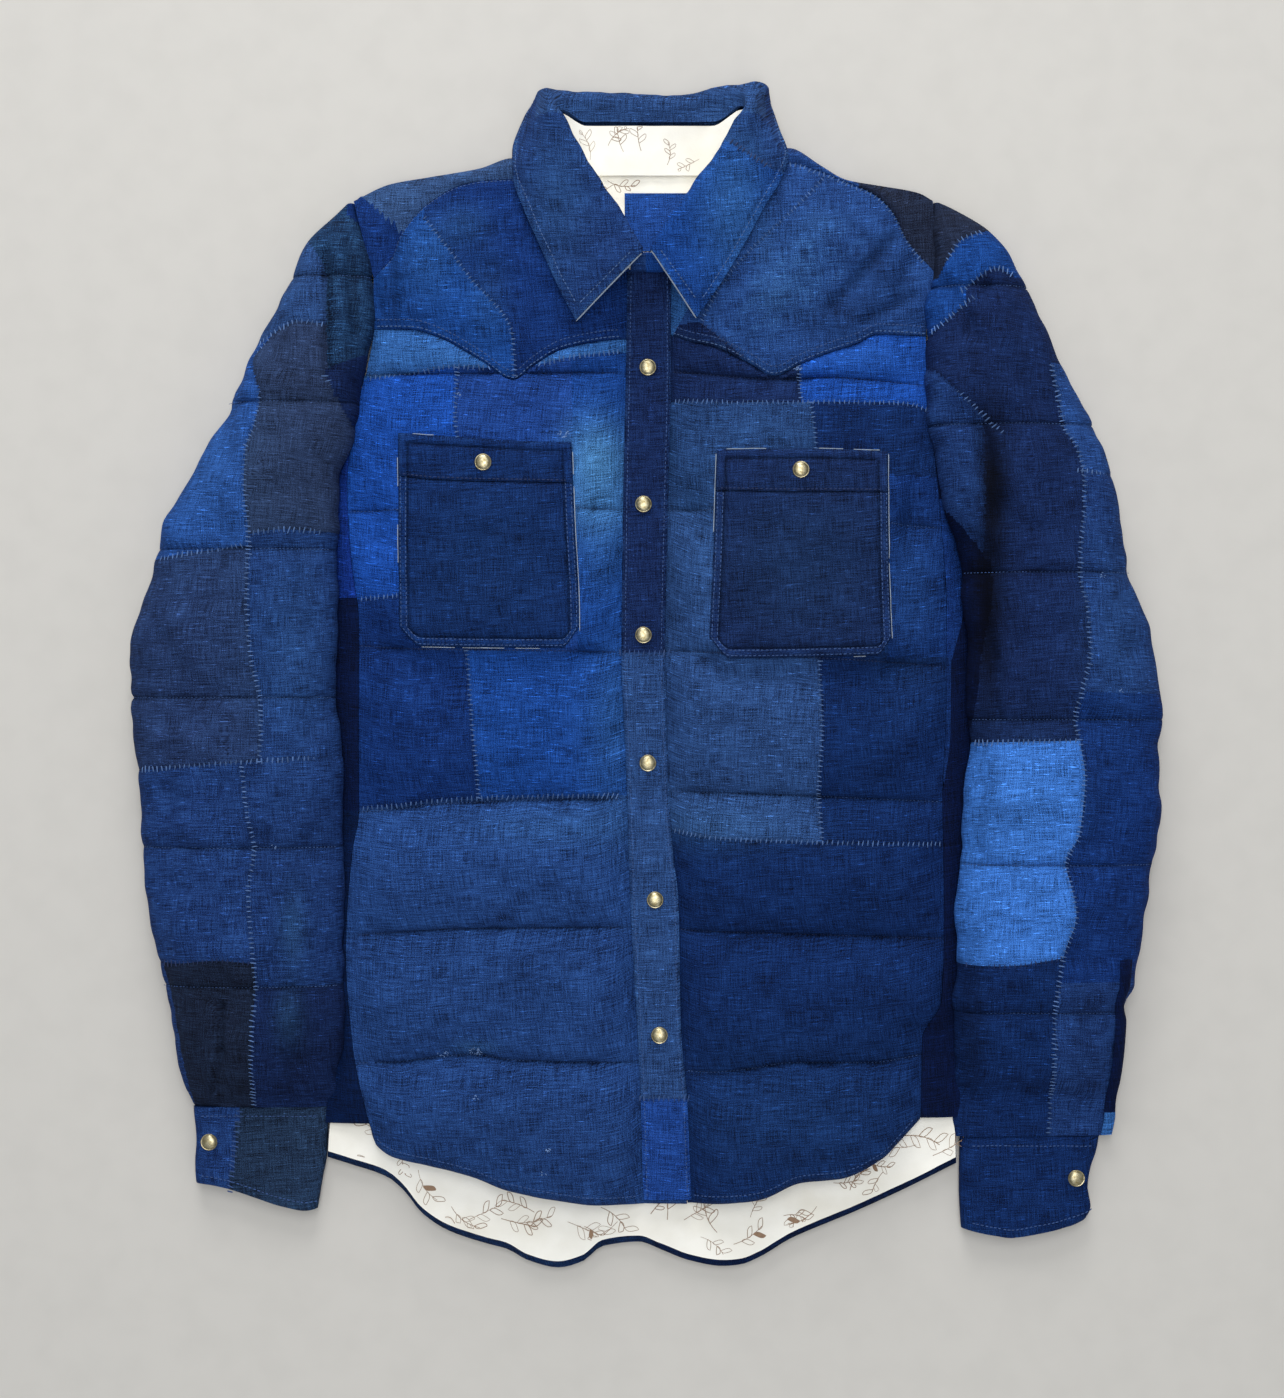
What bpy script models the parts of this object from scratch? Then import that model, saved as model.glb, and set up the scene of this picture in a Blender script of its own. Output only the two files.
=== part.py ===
"""Quilted patchwork shirt jacket, laid flat on its back.

The collar points to +Y, the hem to -Y, and the wearer's right side lies at -X. The ground is z = 0.
Every size below is in millimetres. MM turns a point into metres when a mesh is made.
Panels are grids: a column runs from collar to hem, and a row runs from side to side.
"""
import math

import bmesh
import bpy
import numpy as np
from mathutils import Vector

MM = 0.001
GAP = 0.3

# Thicknesses of the padded walls
BACK_WALL = 9.0
LINING = 1.5
SEAM_WALL = 6.0
PUFF_WALL = 24.0
YOKE_WALL = 21.0
SIDE_ROUNDING = 45.0
BAND_WALL = 4.5
BAND_SWELL = 2.0
POCKET_WALL = 3.0
POCKET_SWELL = 3.0
POCKET_FOLD = 0.6
POCKET_GAP = 0.5
NECK_PATCH = 1.2
SHOULDER_RIM = 4.0
COLLAR_WALL = 3.5
STAND_WALL = 3.0

# Quilting lines across the garment, as distances along Y
BODY_LINES = (-263, -173, -78, 20, 115, 210, 305)
SLEEVE_RIGHT_LINES = (-295, -209, -114, -12, 89, 189, 276, 340)
SLEEVE_LEFT_LINES = (-316, -227, -126, -27, 73, 174, 269, 340)
# Shares of the rows between two quilting lines, below the last one, above the first one and on a yoke
PUFF_SHARES = (0, 0.08, 0.3, 0.7, 0.92)
FIRST_SHARES = (0, 0.2, 0.5, 0.8, 0.93)
LAST_SHARES = (0, 0.06, 0.22, 0.45, 0.67, 0.77, 0.9)
YOKE_SHARES = (0, 0.06, 0.25, 0.5, 0.75, 0.94)
POCKET_SHARES = (0, 0.06, 0.12, 0.3, 0.5, 0.7, 0.88, 0.94)

# Side edges of the body, as (y, x)
BODY_RIGHT_EDGE = ((-345, -213), (-333, -221.5), (-300, -219.5), (-267, -215.2), (-237, -212.2),
                   (-115, -212.2), (-53, -214.2), (0, -217.2), (100, -217.2), (134, -215.2),
                   (154, -208.2), (185, -201.2), (224, -191.2), (248, -188.2), (277, -188.6),
                   (305, -196.2), (331, -203))
BODY_LEFT_EDGE = ((-340, 215.5), (-310, 215), (-147, 215.5), (-110, 219.2), (-28, 223.2), (27, 223.2),
                  (55, 220.2), (83, 216.2), (116, 209.2), (156, 200.2), (184, 195.2), (227, 193.2),
                  (255, 194.2), (281, 200.2), (306, 198.2), (331, 198.7))
# Outline of the shoulders and of the back hem, as (x, y)
SHOULDER_LINE = ((-203, 331), (-177, 343), (-149, 348), (-115, 354), (-93, 361), (-72, 361), (-44, 354),
                 (-3, 353), (37, 355), (72, 364), (99, 368), (120, 356), (137, 346), (161, 342),
                 (188, 337), (199, 331))
BACK_HEM = ((-222, -333), (-210, -342), (-178, -357), (-150, -372), (-126, -386), (-88, -400),
            (-57, -407), (-39, -405), (-24, -393), (-4, -389), (13, -393), (37, -402), (62, -407),
            (83, -405), (107, -393), (128, -381), (156, -368), (187, -355), (216, -340))
BACK_YOKE_LINE = 205.0
HEM_RIM = 5.5
HEM_BAND = 52.0

# Fronts: side seams as (y, x), then hems and yoke lines as (x, y)
FRONT_RIGHT_SEAM = ((-306, -191), (-254, -202), (-185, -207), (-116, -202), (-92, -198), (41, -198),
                    (82, -203), (130, -206), (171, -203), (185, -200.5), (209, -194), (224, -190.5),
                    (242, -188), (277, -188))
FRONT_LEFT_SEAM = ((-302, 189), (-247, 190), (-221, 203), (-171, 205), (-83, 204), (-14, 206.5),
                   (55, 206.5), (82, 205), (130, 201), (171, 196.5), (209, 193), (237, 192.7),
                   (262, 195.5), (281, 199))
FRONT_RIGHT_HEM = ((-191, -307), (-187, -320), (-173, -329), (-149, -334), (-121, -341), (-94, -351),
                   (-59, -358), (-32, -361), (30, -362))
FRONT_LEFT_HEM = ((0, -362), (30, -361), (51, -360), (78, -357), (106, -346), (133, -343), (161, -330),
                  (175, -317), (190, -302))
YOKE_RIGHT_LINE = ((-193, 242), (-161, 241), (-141, 235), (-114, 220), (-91, 206), (-79, 215), (-59, 227),
                   (-38, 232), (-17, 235), (18, 236))
YOKE_LEFT_LINE = ((12, 239), (17, 238), (30, 233), (50, 228), (71, 218), (88, 209), (105, 217), (125, 225),
                  (146, 232), (159, 238), (193, 237))
YOKE_RIGHT_TOP = ((-189, 276), (-175, 291), (-169, 305), (-159, 319), (-145, 331), (-130, 339), (-116, 342),
                  (-95, 344), (-75, 346), (-62, 346), (-52, 343), (-46, 338), (-38, 326), (-24, 306),
                  (-16, 290), (-8, 281), (14, 281))
YOKE_LEFT_TOP = ((14, 283), (19, 292), (24, 303), (40, 322), (52, 336), (62, 343), (75, 348), (99, 355),
                 (120, 349), (142, 340), (157, 333), (171, 319), (179, 303), (199, 281))
# Shares of a front's width at which its columns stand; each list holds the yoke's point
RIGHT_COLUMNS = (0, 0.06, 0.14, 0.24, 0.35, 0.46, 0.566, 0.66, 0.76, 0.87, 0.95)
LEFT_COLUMNS = (0, 0.05, 0.14, 0.24, 0.33, 0.407, 0.5, 0.6, 0.7, 0.8, 0.88, 0.95)

NECK_PATCH_EDGE = ((297, 16), (303, 20), (322, 33), (337, 36))

# Front band, as (y, x)
BAND_RIGHT_EDGE = ((-358, -2), (-287, -4), (-244, -6), (-151, -11), (-57, -14), (17, -17), (121, -16),
                   (216, -14), (281, -13))
BAND_LEFT_EDGE = ((-358, 31), (-287, 28), (-244, 24), (-151, 22), (-116, 18), (-57, 15), (17, 13),
                  (121, 15), (216, 17), (281, 17))
BAND_TOP = 281.0
UNDERLAP_RIGHT = 3.0
UNDERLAP_LEFT = 2.4

# Pockets: sides as (y, x), then bottom, seam and top as (x, y)
POCKET_RIGHT = {
    "low_x": ((36, -168.5), (95, -169), (168, -169)),
    "high_x": ((35, -46), (41, -46), (109, -49), (162, -51)),
    "bottom": ((-169, 37), (-153, 23), (-58, 22), (-46, 36)),
    "seam": ((-169, 139), (-140, 136), (-50, 134)),
    "top": ((-169, 168), (-120, 165), (-59, 162), (-50, 162)),
}
POCKET_LEFT = {
    "low_x": ((29, 43), (95, 46), (157, 48)),
    "high_x": ((30, 167), (95, 165), (156, 164.5)),
    "bottom": ((43, 29), (57, 15), (157, 17), (167, 30)),
    "seam": ((46, 129), (104, 128), (166, 128)),
    "top": ((47, 157), (104, 157.5), (166, 156)),
}

# Sleeves: outer edges as (y, x) and heights as (y, z)
SLEEVE_RIGHT_OUTER = ((-295, -313), (-273, -319), (-226, -328), (-160, -341), (-100, -346), (-30, -352),
                      (21, -353), (66, -341), (118, -322), (169, -297), (219, -272), (266, -246),
                      (300, -232), (322, -212))
SLEEVE_LEFT_OUTER = ((-316, 317), (-287, 323), (-217, 329), (-147, 345), (-56, 354), (-8, 352), (34, 345),
                     (71, 332), (105, 325), (147, 316), (184, 301), (239, 274), (288, 250), (309, 235),
                     (328, 207))
SLEEVE_RIGHT_TOP = 321.0
SLEEVE_LEFT_TOP = 327.0
SLEEVE_RIGHT_END = -295.0
SLEEVE_LEFT_END = -315.5
SLEEVE_HEIGHTS = ((0, 15), (12, 27), (28, 38), (62, 46), (125, 52), (225, 55), (325, 56), (445, 54),
                  (540, 49), (580, 40), (602, 29), (616, 18), (644, 17))
SLEEVE_CLEARANCE = 0.9
SLEEVE_WALL = 7.0
SLEEVE_SLIT = 0.8
SLEEVE_SIDES = 16
VENT_TOP = -190.0
VENT_GAP = 0.8
VENT_WALL = 2.0

# Cuffs: side edges as (y, x) and open ends as (x, y)
CUFF_HEIGHT = 15.0
CUFF_WALL = 4.0
CUFF_RIGHT_OUTER = ((-350, -312), (-333, -313), (-320, -312), (-295, -314))
CUFF_RIGHT_INNER = ((-366, -229), (-345, -226), (-331, -223.5), (-308, -222.5), (-295, -222))
CUFF_RIGHT_END = ((-313, -348), (-302, -349), (-276, -356), (-252, -364), (-235, -367), (-228, -366))
CUFF_LEFT_OUTER = ((-376, 303), (-365, 308), (-351, 306), (-338, 308), (-326, 312), (-316, 314))
CUFF_LEFT_INNER = ((-381, 218.5), (-351, 217), (-316, 217.5))
CUFF_LEFT_END = ((216, -379), (239, -384), (253, -386), (266, -384), (285, -380), (303, -374), (309, -370))

# Collar: fold line and free edge of each side, from the front apex to the back corner
COLLAR_RIGHT_FOLD = ((-3, 289, 51), (-14, 309, 54), (-28, 330, 55), (-41, 350, 54), (-51, 370, 51),
                     (-57, 381, 48), (-63, 391, 43))
COLLAR_RIGHT_EDGE = ((-48, 245, 38), (-60, 268, 38), (-72, 295, 37), (-83, 320, 37), (-91, 344, 31),
                     (-92, 364, 20), (-86, 385, 10))
COLLAR_LEFT_FOLD = ((3, 291, 51), (14, 309, 54), (29, 328, 55), (42, 346, 54), (53, 363, 51),
                    (61, 378, 48), (69, 391, 43))
COLLAR_LEFT_EDGE = ((34, 247, 38), (51, 271, 38), (67, 298, 37), (80, 322, 37), (92, 343, 32),
                    (97, 360, 27), (91, 381, 13))
# The corners behind the neck, where the leaf turns from the shoulder to under the back
COLLAR_RIGHT_CORNER = ((-57, 390, 28), (-60, 397, 30), (-68, 404, 24), (-74, 406, 13), (-73, 401, 4))
COLLAR_LEFT_CORNER = ((63, 390, 28), (66, 398, 30), (75, 405, 24), (81, 405, 13), (80, 398, 4))
COLLAR_BACK_X = (-42, -22, 0, 22, 46)
COLLAR_BACK_SEAM = 385.0
COLLAR_BACK_FOLD = 404.0
COLLAR_STEPS = 36
STAND_FOOT = 12.9
STAND_SEAM = 349.0
STAND_SLOPE = 0.005
STAND_GAP = 2.8

# Snaps
SNAP_RADIUS = 5.75
SNAP_HEIGHT = 2.6
SNAP_SIDES = 12
BAND_SNAPS = ((1, 215), (-2, 121), (-2, 31), (1, -57), (6, -151), (9, -244))
POCKET_SNAPS = {"right": (-111, 148), "left": (105, 143)}
CUFF_SNAPS = {"right": (-302, -319), "left": (297, -344)}

NAVY = (0.018, 0.045, 0.13)
BLUE = (0.03, 0.085, 0.25)
PALE = (0.06, 0.13, 0.29)
CREAM = (0.86, 0.85, 0.78)
BRASS = (0.75, 0.6, 0.33)


# Curves and shares

def curve(points):
    """Smooth line through (t, value) points that never overshoots them."""
    points = sorted(points)
    t = np.array([p[0] for p in points], float)
    v = np.array([p[1] for p in points], float)
    step = np.diff(t)
    rate = np.diff(v) / step
    slope = np.zeros(len(t))
    slope[0], slope[-1] = rate[0], rate[-1]
    for i in range(1, len(t) - 1):
        if rate[i - 1] * rate[i] > 0:
            slope[i] = 2 * rate[i - 1] * rate[i] / (rate[i - 1] + rate[i])

    def value(at):
        at = np.clip(at, t[0], t[-1])
        i = np.clip(np.searchsorted(t, at) - 1, 0, len(step) - 1)
        f = (at - t[i]) / step[i]
        return (v[i] * (1 + 2 * f) * (1 - f) ** 2 + v[i + 1] * f * f * (3 - 2 * f)
                + step[i] * (slope[i] * f * (1 - f) ** 2 - slope[i + 1] * f * f * (1 - f)))

    return value


def level(height):
    """A line or a face that stays at one value."""
    return lambda *at: height


def moved(line, by):
    """The same line, moved sideways."""
    return lambda at: line(at) + by


def rounded(distance, reach):
    """0 at an edge, 1 at a reach from it, as a quarter round."""
    share = np.clip(distance / reach, 0, 1)
    return 1 - (1 - share) ** 2.2


def puff(y, lines):
    """0 on a quilting line, 1 midway between two."""
    lines = np.array(lines, float)
    i = np.clip(np.searchsorted(lines, y) - 1, 0, len(lines) - 2)
    share = np.clip((y - lines[i]) / (lines[i + 1] - lines[i]), 0, 1)
    return np.sin(np.pi * share) ** 0.6


body_right = curve(BODY_RIGHT_EDGE)
body_left = curve(BODY_LEFT_EDGE)
shoulder_line = curve(SHOULDER_LINE)
back_hem = curve(BACK_HEM)
front_right_seam = curve(FRONT_RIGHT_SEAM)
front_left_seam = curve(FRONT_LEFT_SEAM)
front_right_hem = curve(FRONT_RIGHT_HEM)
front_left_hem = curve(FRONT_LEFT_HEM)
yoke_right_line = curve(YOKE_RIGHT_LINE)
yoke_left_line = curve(YOKE_LEFT_LINE)
yoke_right_top = curve(YOKE_RIGHT_TOP)
yoke_left_top = curve(YOKE_LEFT_TOP)
band_right = curve(BAND_RIGHT_EDGE)
band_left = curve(BAND_LEFT_EDGE)
POCKETS = {"right": {key: curve(line) for key, line in POCKET_RIGHT.items()},
           "left": {key: curve(line) for key, line in POCKET_LEFT.items()}}


# Heights of the layers: the back lies flat, the lining on it, and the fronts on the lining
ground = level(0.0)
LINING_UNDER = BACK_WALL + GAP
LINING_TOP = LINING_UNDER + LINING
FRONT_UNDER = LINING_TOP + GAP


def band_share(x, y):
    """0 under the front band, 1 away from it."""
    distance = np.maximum(band_right(y) - x, x - band_left(y))
    return rounded(distance, SIDE_ROUNDING * 0.7)


def in_pocket(x, y):
    """1 under a pocket, falling to 0 just outside it, where the quilting is pulled flat."""
    share = 0
    for pocket in POCKETS.values():
        inside = np.minimum(np.minimum(x - pocket["low_x"](y), pocket["high_x"](y) - x),
                            np.minimum(y - pocket["bottom"](x), pocket["top"](x) - y))
        share = np.maximum(share, np.clip(1 + (inside + 3) / 14, 0, 1))
    return share


def front_top(x, y):
    """Quilted outer face of a front."""
    hem = np.where(x < 7, front_right_hem(x), front_left_hem(x))
    seam = np.where(x < 7, x - front_right_seam(y), front_left_seam(y) - x)
    yoke = np.where(x < 7, yoke_right_line(x), yoke_left_line(x))
    rows = puff(y, BODY_LINES)
    first = np.clip((y - hem) / (BODY_LINES[0] - hem), 0, 1)
    rows = np.where(y < BODY_LINES[0], np.sin(np.pi * (0.06 + 0.94 * first)) ** 0.6, rows)
    upper = BODY_LINES[5]
    last = np.clip((y - upper) / np.maximum(yoke - upper, 1), 0, 1)
    rows = np.where(y > upper, 0.45 * np.sin(np.pi * last) ** 0.6, rows)
    rows = rows + (1 - rows) * in_pocket(x, y)
    side = rounded(seam, SIDE_ROUNDING)
    swell = rows * (0.18 + 0.82 * side) * band_share(x, y)
    return FRONT_UNDER + SEAM_WALL + (PUFF_WALL - SEAM_WALL) * swell


def yoke_top(x, y):
    """Outer face of a front yoke, which stands proud of the front's edge."""
    line = np.where(x < 7, yoke_right_line(x), yoke_left_line(x))
    top = np.where(x < 7, yoke_right_top(x), yoke_left_top(x))
    seam = np.where(x < 7, x - front_right_seam(y), front_left_seam(y) - x)
    share = np.clip((y - line) / (top - line), 0, 1)
    rows = 0.3 + 0.7 * np.sin(np.pi * share) ** 0.6
    swell = rows * (0.2 + 0.8 * rounded(seam, SIDE_ROUNDING)) * band_share(x, y)
    return FRONT_UNDER + SEAM_WALL + (YOKE_WALL - SEAM_WALL) * swell


BAND_UNDER = FRONT_UNDER + SEAM_WALL + GAP


# Building blocks

def new_object(name, bm, colour, metallic=0.0, roughness=0.9):
    """Put a closed mesh in the jacket's collection with its own material."""
    bmesh.ops.recalc_face_normals(bm, faces=bm.faces)
    if bm.calc_volume(signed=True) < 0:
        bmesh.ops.reverse_faces(bm, faces=bm.faces)
    mesh = bpy.data.meshes.new(name)
    bm.to_mesh(mesh)
    bm.free()
    mesh.shade_smooth()
    mesh.set_sharp_from_angle(angle=math.radians(50))
    material = bpy.data.materials.new(name)
    material.use_nodes = True
    shader = material.node_tree.nodes["Principled BSDF"]
    shader.inputs["Base Color"].default_value = (*colour, 1)
    shader.inputs["Metallic"].default_value = metallic
    shader.inputs["Roughness"].default_value = roughness
    mesh.materials.append(material)
    piece = bpy.data.objects.new(name, mesh)
    collection.objects.link(piece)
    return piece


def numbered_grid(columns, rows, closed):
    """Unit grid whose points know their column and row; a closed one is rolled into a tube."""
    bm = bmesh.new()
    bmesh.ops.create_grid(bm, x_segments=columns, y_segments=rows, size=0.5)
    column = bm.verts.layers.int.new("column")
    row = bm.verts.layers.int.new("row")
    for vert in bm.verts:
        vert[column] = round((vert.co.x + 0.5) * columns)
        vert[row] = round((vert.co.y + 0.5) * rows)
    if closed:
        for vert in bm.verts:
            vert[column] %= columns
            turn = 2 * math.pi * vert[column] / columns
            vert.co = Vector((math.cos(turn), math.sin(turn), vert.co.y))
        bmesh.ops.remove_doubles(bm, verts=bm.verts, dist=0.0001)
    return bm, column, row


def slab(name, colour, columns, rows, under, over, closed=False):
    """Cloth wall: a grid extruded into a slab, with its two faces moved to under() and over()."""
    bm, column, row = numbered_grid(columns, rows, closed)
    lower = set(bm.verts[:])
    bmesh.ops.extrude_face_region(bm, geom=bm.faces[:])
    for vert in bm.verts:
        place = under if vert in lower else over
        vert.co = Vector([float(c) * MM for c in place(vert[column], vert[row])])
    return new_object(name, bm, colour)


def panel(name, colour, sides, columns, lines, rows, under, over):
    """Slab over a plan area: columns stand between the side lines, rows lie between the cross lines.

    Each list of shares says where its columns or rows stand within one interval.
    """
    columns = [(i, share) for i, shares in enumerate(columns) for share in shares] + [(len(sides) - 2, 1)]
    rows = [(i, share) for i, shares in enumerate(rows) for share in shares] + [(len(lines) - 2, 1)]

    def plan(column, row):
        (k, across), (m, along) = columns[column], rows[row]
        x, y = 0.5 * (sides[k](0) + sides[k + 1](0)), 0
        for _ in range(6):
            y = lines[m](x) + (lines[m + 1](x) - lines[m](x)) * along
            x = sides[k](y) + (sides[k + 1](y) - sides[k](y)) * across
        return x, y

    def on(surface):
        def place(column, row):
            x, y = plan(column, row)
            return x, y, surface(x, y)
        return place

    return slab(name, colour, len(columns) - 1, len(rows) - 1, on(under), on(over))


def even(count):
    """Equal shares of one interval."""
    return tuple(k / count for k in range(count))


def raised(surface, by):
    """The same surface, moved up."""
    return lambda x, y: surface(x, y) + by


# Pieces of the body

def make_back():
    sides = (body_right, body_left)
    panel("back_panel", NAVY, sides, (even(20),), (back_hem, level(-300), level(BACK_YOKE_LINE)),
          (even(1), even(8)), ground, level(BACK_WALL))
    panel("back_yoke", NAVY, sides, (even(20),), (level(BACK_YOKE_LINE + GAP), shoulder_line),
          (even(4),), ground, level(BACK_WALL))
    panel("hem_lining", CREAM, (moved(body_right, HEM_RIM), moved(body_left, -HEM_RIM)), (even(24),),
          (moved(back_hem, HEM_RIM), moved(back_hem, HEM_RIM + HEM_BAND)), (even(2),),
          level(LINING_UNDER), level(LINING_TOP))
    panel("neck_lining", CREAM, (level(-58), level(58)), (even(8),),
          (level(268), moved(shoulder_line, -0.8)), (even(3),), level(LINING_UNDER), level(LINING_TOP))
    panel("neck_patch", BLUE, (level(-15), curve(NECK_PATCH_EDGE)), (even(3),), (level(297), level(337)), (even(3),),
          level(LINING_TOP + GAP), level(LINING_TOP + GAP + NECK_PATCH))


def front_columns(side):
    """Side lines and column shares that a front, its yoke and its shoulder part have in common."""
    if side == "right":
        return (front_right_seam, band_right, moved(band_left, -UNDERLAP_RIGHT)), (RIGHT_COLUMNS, (0, 0.5))
    return (moved(band_left, -UNDERLAP_LEFT), band_left, front_left_seam), ((0,), LEFT_COLUMNS)


def make_front(side):
    sides, columns = front_columns(side)
    hem = front_right_hem if side == "right" else front_left_hem
    yoke = yoke_right_line if side == "right" else yoke_left_line
    lines = (hem,) + tuple(level(y) for y in BODY_LINES[:5]) + (moved(yoke, -GAP),)
    rows = (FIRST_SHARES,) + (PUFF_SHARES,) * 4 + (LAST_SHARES,)
    panel("front_" + side, BLUE if side == "right" else NAVY, sides, columns, lines, rows,
          level(FRONT_UNDER), front_top)


def make_yoke(side):
    sides, columns = front_columns(side)
    lines = (yoke_right_line, yoke_right_top) if side == "right" else (yoke_left_line, yoke_left_top)
    panel("yoke_" + side, PALE if side == "right" else BLUE, sides, columns, lines, (YOKE_SHARES,),
          level(FRONT_UNDER), yoke_top)


def make_shoulder(side):
    """Part of the back yoke that comes forward over the shoulder and rolls down to its outline."""
    right = side == "right"
    seam = yoke_right_top if right else yoke_left_top
    rise = front_right_seam if right else front_left_seam
    edge = band_right if right else band_left
    shares = RIGHT_COLUMNS[:8] if right else LEFT_COLUMNS[4:] + (1,)
    tips = (-202.4, -72) if right else (72, 198.2)
    steps = (0, 0.3, 0.6, 0.85, 1)
    starts = []
    for share in shares:
        x = 0.0
        for _ in range(8):
            low, high = (rise(seam(x)), edge(seam(x))) if right else (edge(seam(x)), rise(seam(x)))
            x = low + (high - low) * share
        starts.append(x)

    def plan(column, row):
        start = starts[column]
        tip = tips[0] + (tips[1] - tips[0]) * (start - starts[0]) / (starts[-1] - starts[0])
        y = seam(start) + GAP
        return start + (tip - start) * steps[row], y + (shoulder_line(tip) - y) * steps[row]

    def over(column, row):
        begin = yoke_top(starts[column], seam(starts[column]))
        end = BACK_WALL + GAP + SHOULDER_RIM
        share = 1 - steps[row]
        height = end + (begin - end) * math.sin(0.5 * math.pi * share) ** 0.8 + 3 * math.sin(math.pi * share)
        return (*plan(column, row), height)

    slab("shoulder_" + side, PALE if right else NAVY, len(starts) - 1, len(steps) - 1,
         lambda column, row: (*plan(column, row), BACK_WALL + GAP), over)


def make_side(side):
    """Narrow side panel, rising from the back's edge to the front's side seam."""
    right = side == "right"
    top, bottom = (155, -306) if right else (140, -302)
    inner = moved(front_right_seam, -GAP) if right else moved(front_left_seam, GAP)
    outer = body_right if right else body_left

    def over(x, y):
        share = np.clip(abs(x - outer(y)) / abs(inner(y) - outer(y)), 0, 1)
        edge = BACK_WALL + GAP + SHOULDER_RIM
        return edge + (front_top(inner(y), y) - edge) * np.sin(0.5 * np.pi * share)

    lines = (level(bottom),) + tuple(level(y) for y in BODY_LINES[:5]) + (level(top),)
    panel("side_" + side, NAVY, (outer, inner) if right else (inner, outer), (even(2),), lines,
          (even(2),) + (PUFF_SHARES,) * 4 + (even(2),), level(FRONT_UNDER), over)


def band_over(x, y):
    """Outer face of the front band, a little fuller between the quilting lines."""
    return BAND_UNDER + BAND_WALL + BAND_SWELL * puff(y, BODY_LINES)


def make_band():
    lines = (level(-357.6),) + tuple(level(y) for y in BODY_LINES[:6]) + (level(BAND_TOP),)
    panel("placket", BLUE, (band_right, band_left), (even(2),), lines, (PUFF_SHARES,) * 7,
          level(BAND_UNDER), band_over)


def pocket_over(pocket):
    """Outer face of a pocket, a little fuller in the middle."""
    def over(x, y):
        across = np.clip((x - pocket["low_x"](y)) / (pocket["high_x"](y) - pocket["low_x"](y)), 0, 1)
        along = np.clip((y - pocket["bottom"](x)) / (pocket["top"](x) - pocket["bottom"](x)), 0, 1)
        swell = (np.sin(np.pi * across) * np.sin(np.pi * along)) ** 0.5
        return front_top(x, y) + POCKET_GAP + POCKET_WALL + POCKET_SWELL * swell

    return over


def make_pocket(side, pocket):
    over = pocket_over(pocket)
    sides = (pocket["low_x"], pocket["high_x"])
    under = raised(front_top, POCKET_GAP)
    panel("pocket_" + side, NAVY, sides, (POCKET_SHARES,), (pocket["bottom"], moved(pocket["seam"], -GAP)),
          (even(6),), under, over)
    panel("pocket_band_" + side, NAVY, sides, (POCKET_SHARES,), (pocket["seam"], pocket["top"]),
          (even(2),), under, raised(over, POCKET_FOLD))


# Sleeves and cuffs

SLEEVES = {
    "right": {"outer": curve(SLEEVE_RIGHT_OUTER), "inner": moved(body_right, -SLEEVE_CLEARANCE),
              "lines": SLEEVE_RIGHT_LINES, "top": SLEEVE_RIGHT_TOP, "end": SLEEVE_RIGHT_END},
    "left": {"outer": curve(SLEEVE_LEFT_OUTER), "inner": moved(body_left, SLEEVE_CLEARANCE),
             "lines": SLEEVE_LEFT_LINES, "top": SLEEVE_LEFT_TOP, "end": SLEEVE_LEFT_END},
}


def sleeve_point(sleeve, turn, y, out=0.0):
    """Point on a sleeve's outer face; turn runs round it from its outer edge over the top."""
    outer, inner = sleeve["outer"](y), sleeve["inner"](y)
    full = puff(y, sleeve["lines"])
    half = 0.5 * (inner - outer)
    middle = 0.5 * (inner + outer)
    height = curve(SLEEVE_HEIGHTS)(sleeve["top"] - y) * (0.84 + 0.16 * full) + out
    widest = 0.4 * height
    across, up = math.cos(turn), math.sin(turn)
    pinch = 3.0 * (1 - full) * (across > 0)
    reach = half - math.copysign(min(pinch, abs(half) / 2) - out, half)
    x = middle - reach * math.copysign(abs(across) ** 0.85, across)
    if up >= 0:
        z = widest + (height - widest) * up ** 0.8
    else:
        z = max(0.0, widest * (1 - 1.15 * abs(up) ** 0.6))
    return x, y, z


def slit_point(sleeve, turn, y):
    """Point on the flat slit inside a sleeve."""
    outer, inner = sleeve["outer"](y), sleeve["inner"](y)
    half = 0.5 * (inner - outer)
    width = half - math.copysign(min(SLEEVE_WALL, abs(half) / 2), half)
    height = curve(SLEEVE_HEIGHTS)(sleeve["top"] - y)
    return 0.5 * (inner + outer) - width * math.cos(turn), y, 0.4 * height + SLEEVE_SLIT * math.sin(turn)


def sleeve_rows(sleeve):
    """Distances along Y of a sleeve's rows, closer together beside its quilting lines."""
    rows = [sleeve["end"]]
    for stop in [y for y in sleeve["lines"] if sleeve["end"] < y < sleeve["top"]] + [sleeve["top"]]:
        low = rows[-1]
        rows += [low + (stop - low) * share for share in PUFF_SHARES[1:] + (1,)]
    return rows


def make_sleeve(side, sleeve):
    ys = sleeve_rows(sleeve)
    turn = lambda i: 2 * math.pi * i / SLEEVE_SIDES
    slab("sleeve_" + side, NAVY, SLEEVE_SIDES, len(ys) - 1,
         lambda i, j: slit_point(sleeve, turn(i), ys[j]),
         lambda i, j: sleeve_point(sleeve, turn(i), ys[j]), closed=True)


def make_vent():
    """Strip beside the sleeve's vent, laid on the sleeve's outer side."""
    sleeve = SLEEVES["left"]
    ys = [y for y in sleeve_rows(sleeve) if SLEEVE_LEFT_END < y < VENT_TOP]
    at = lambda out: lambda i, j: sleeve_point(sleeve, 2 * math.pi * (1 + i) / SLEEVE_SIDES, ys[j], out)
    slab("vent_left", NAVY, 1, len(ys) - 1, at(VENT_GAP), at(VENT_GAP + VENT_WALL))


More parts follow.
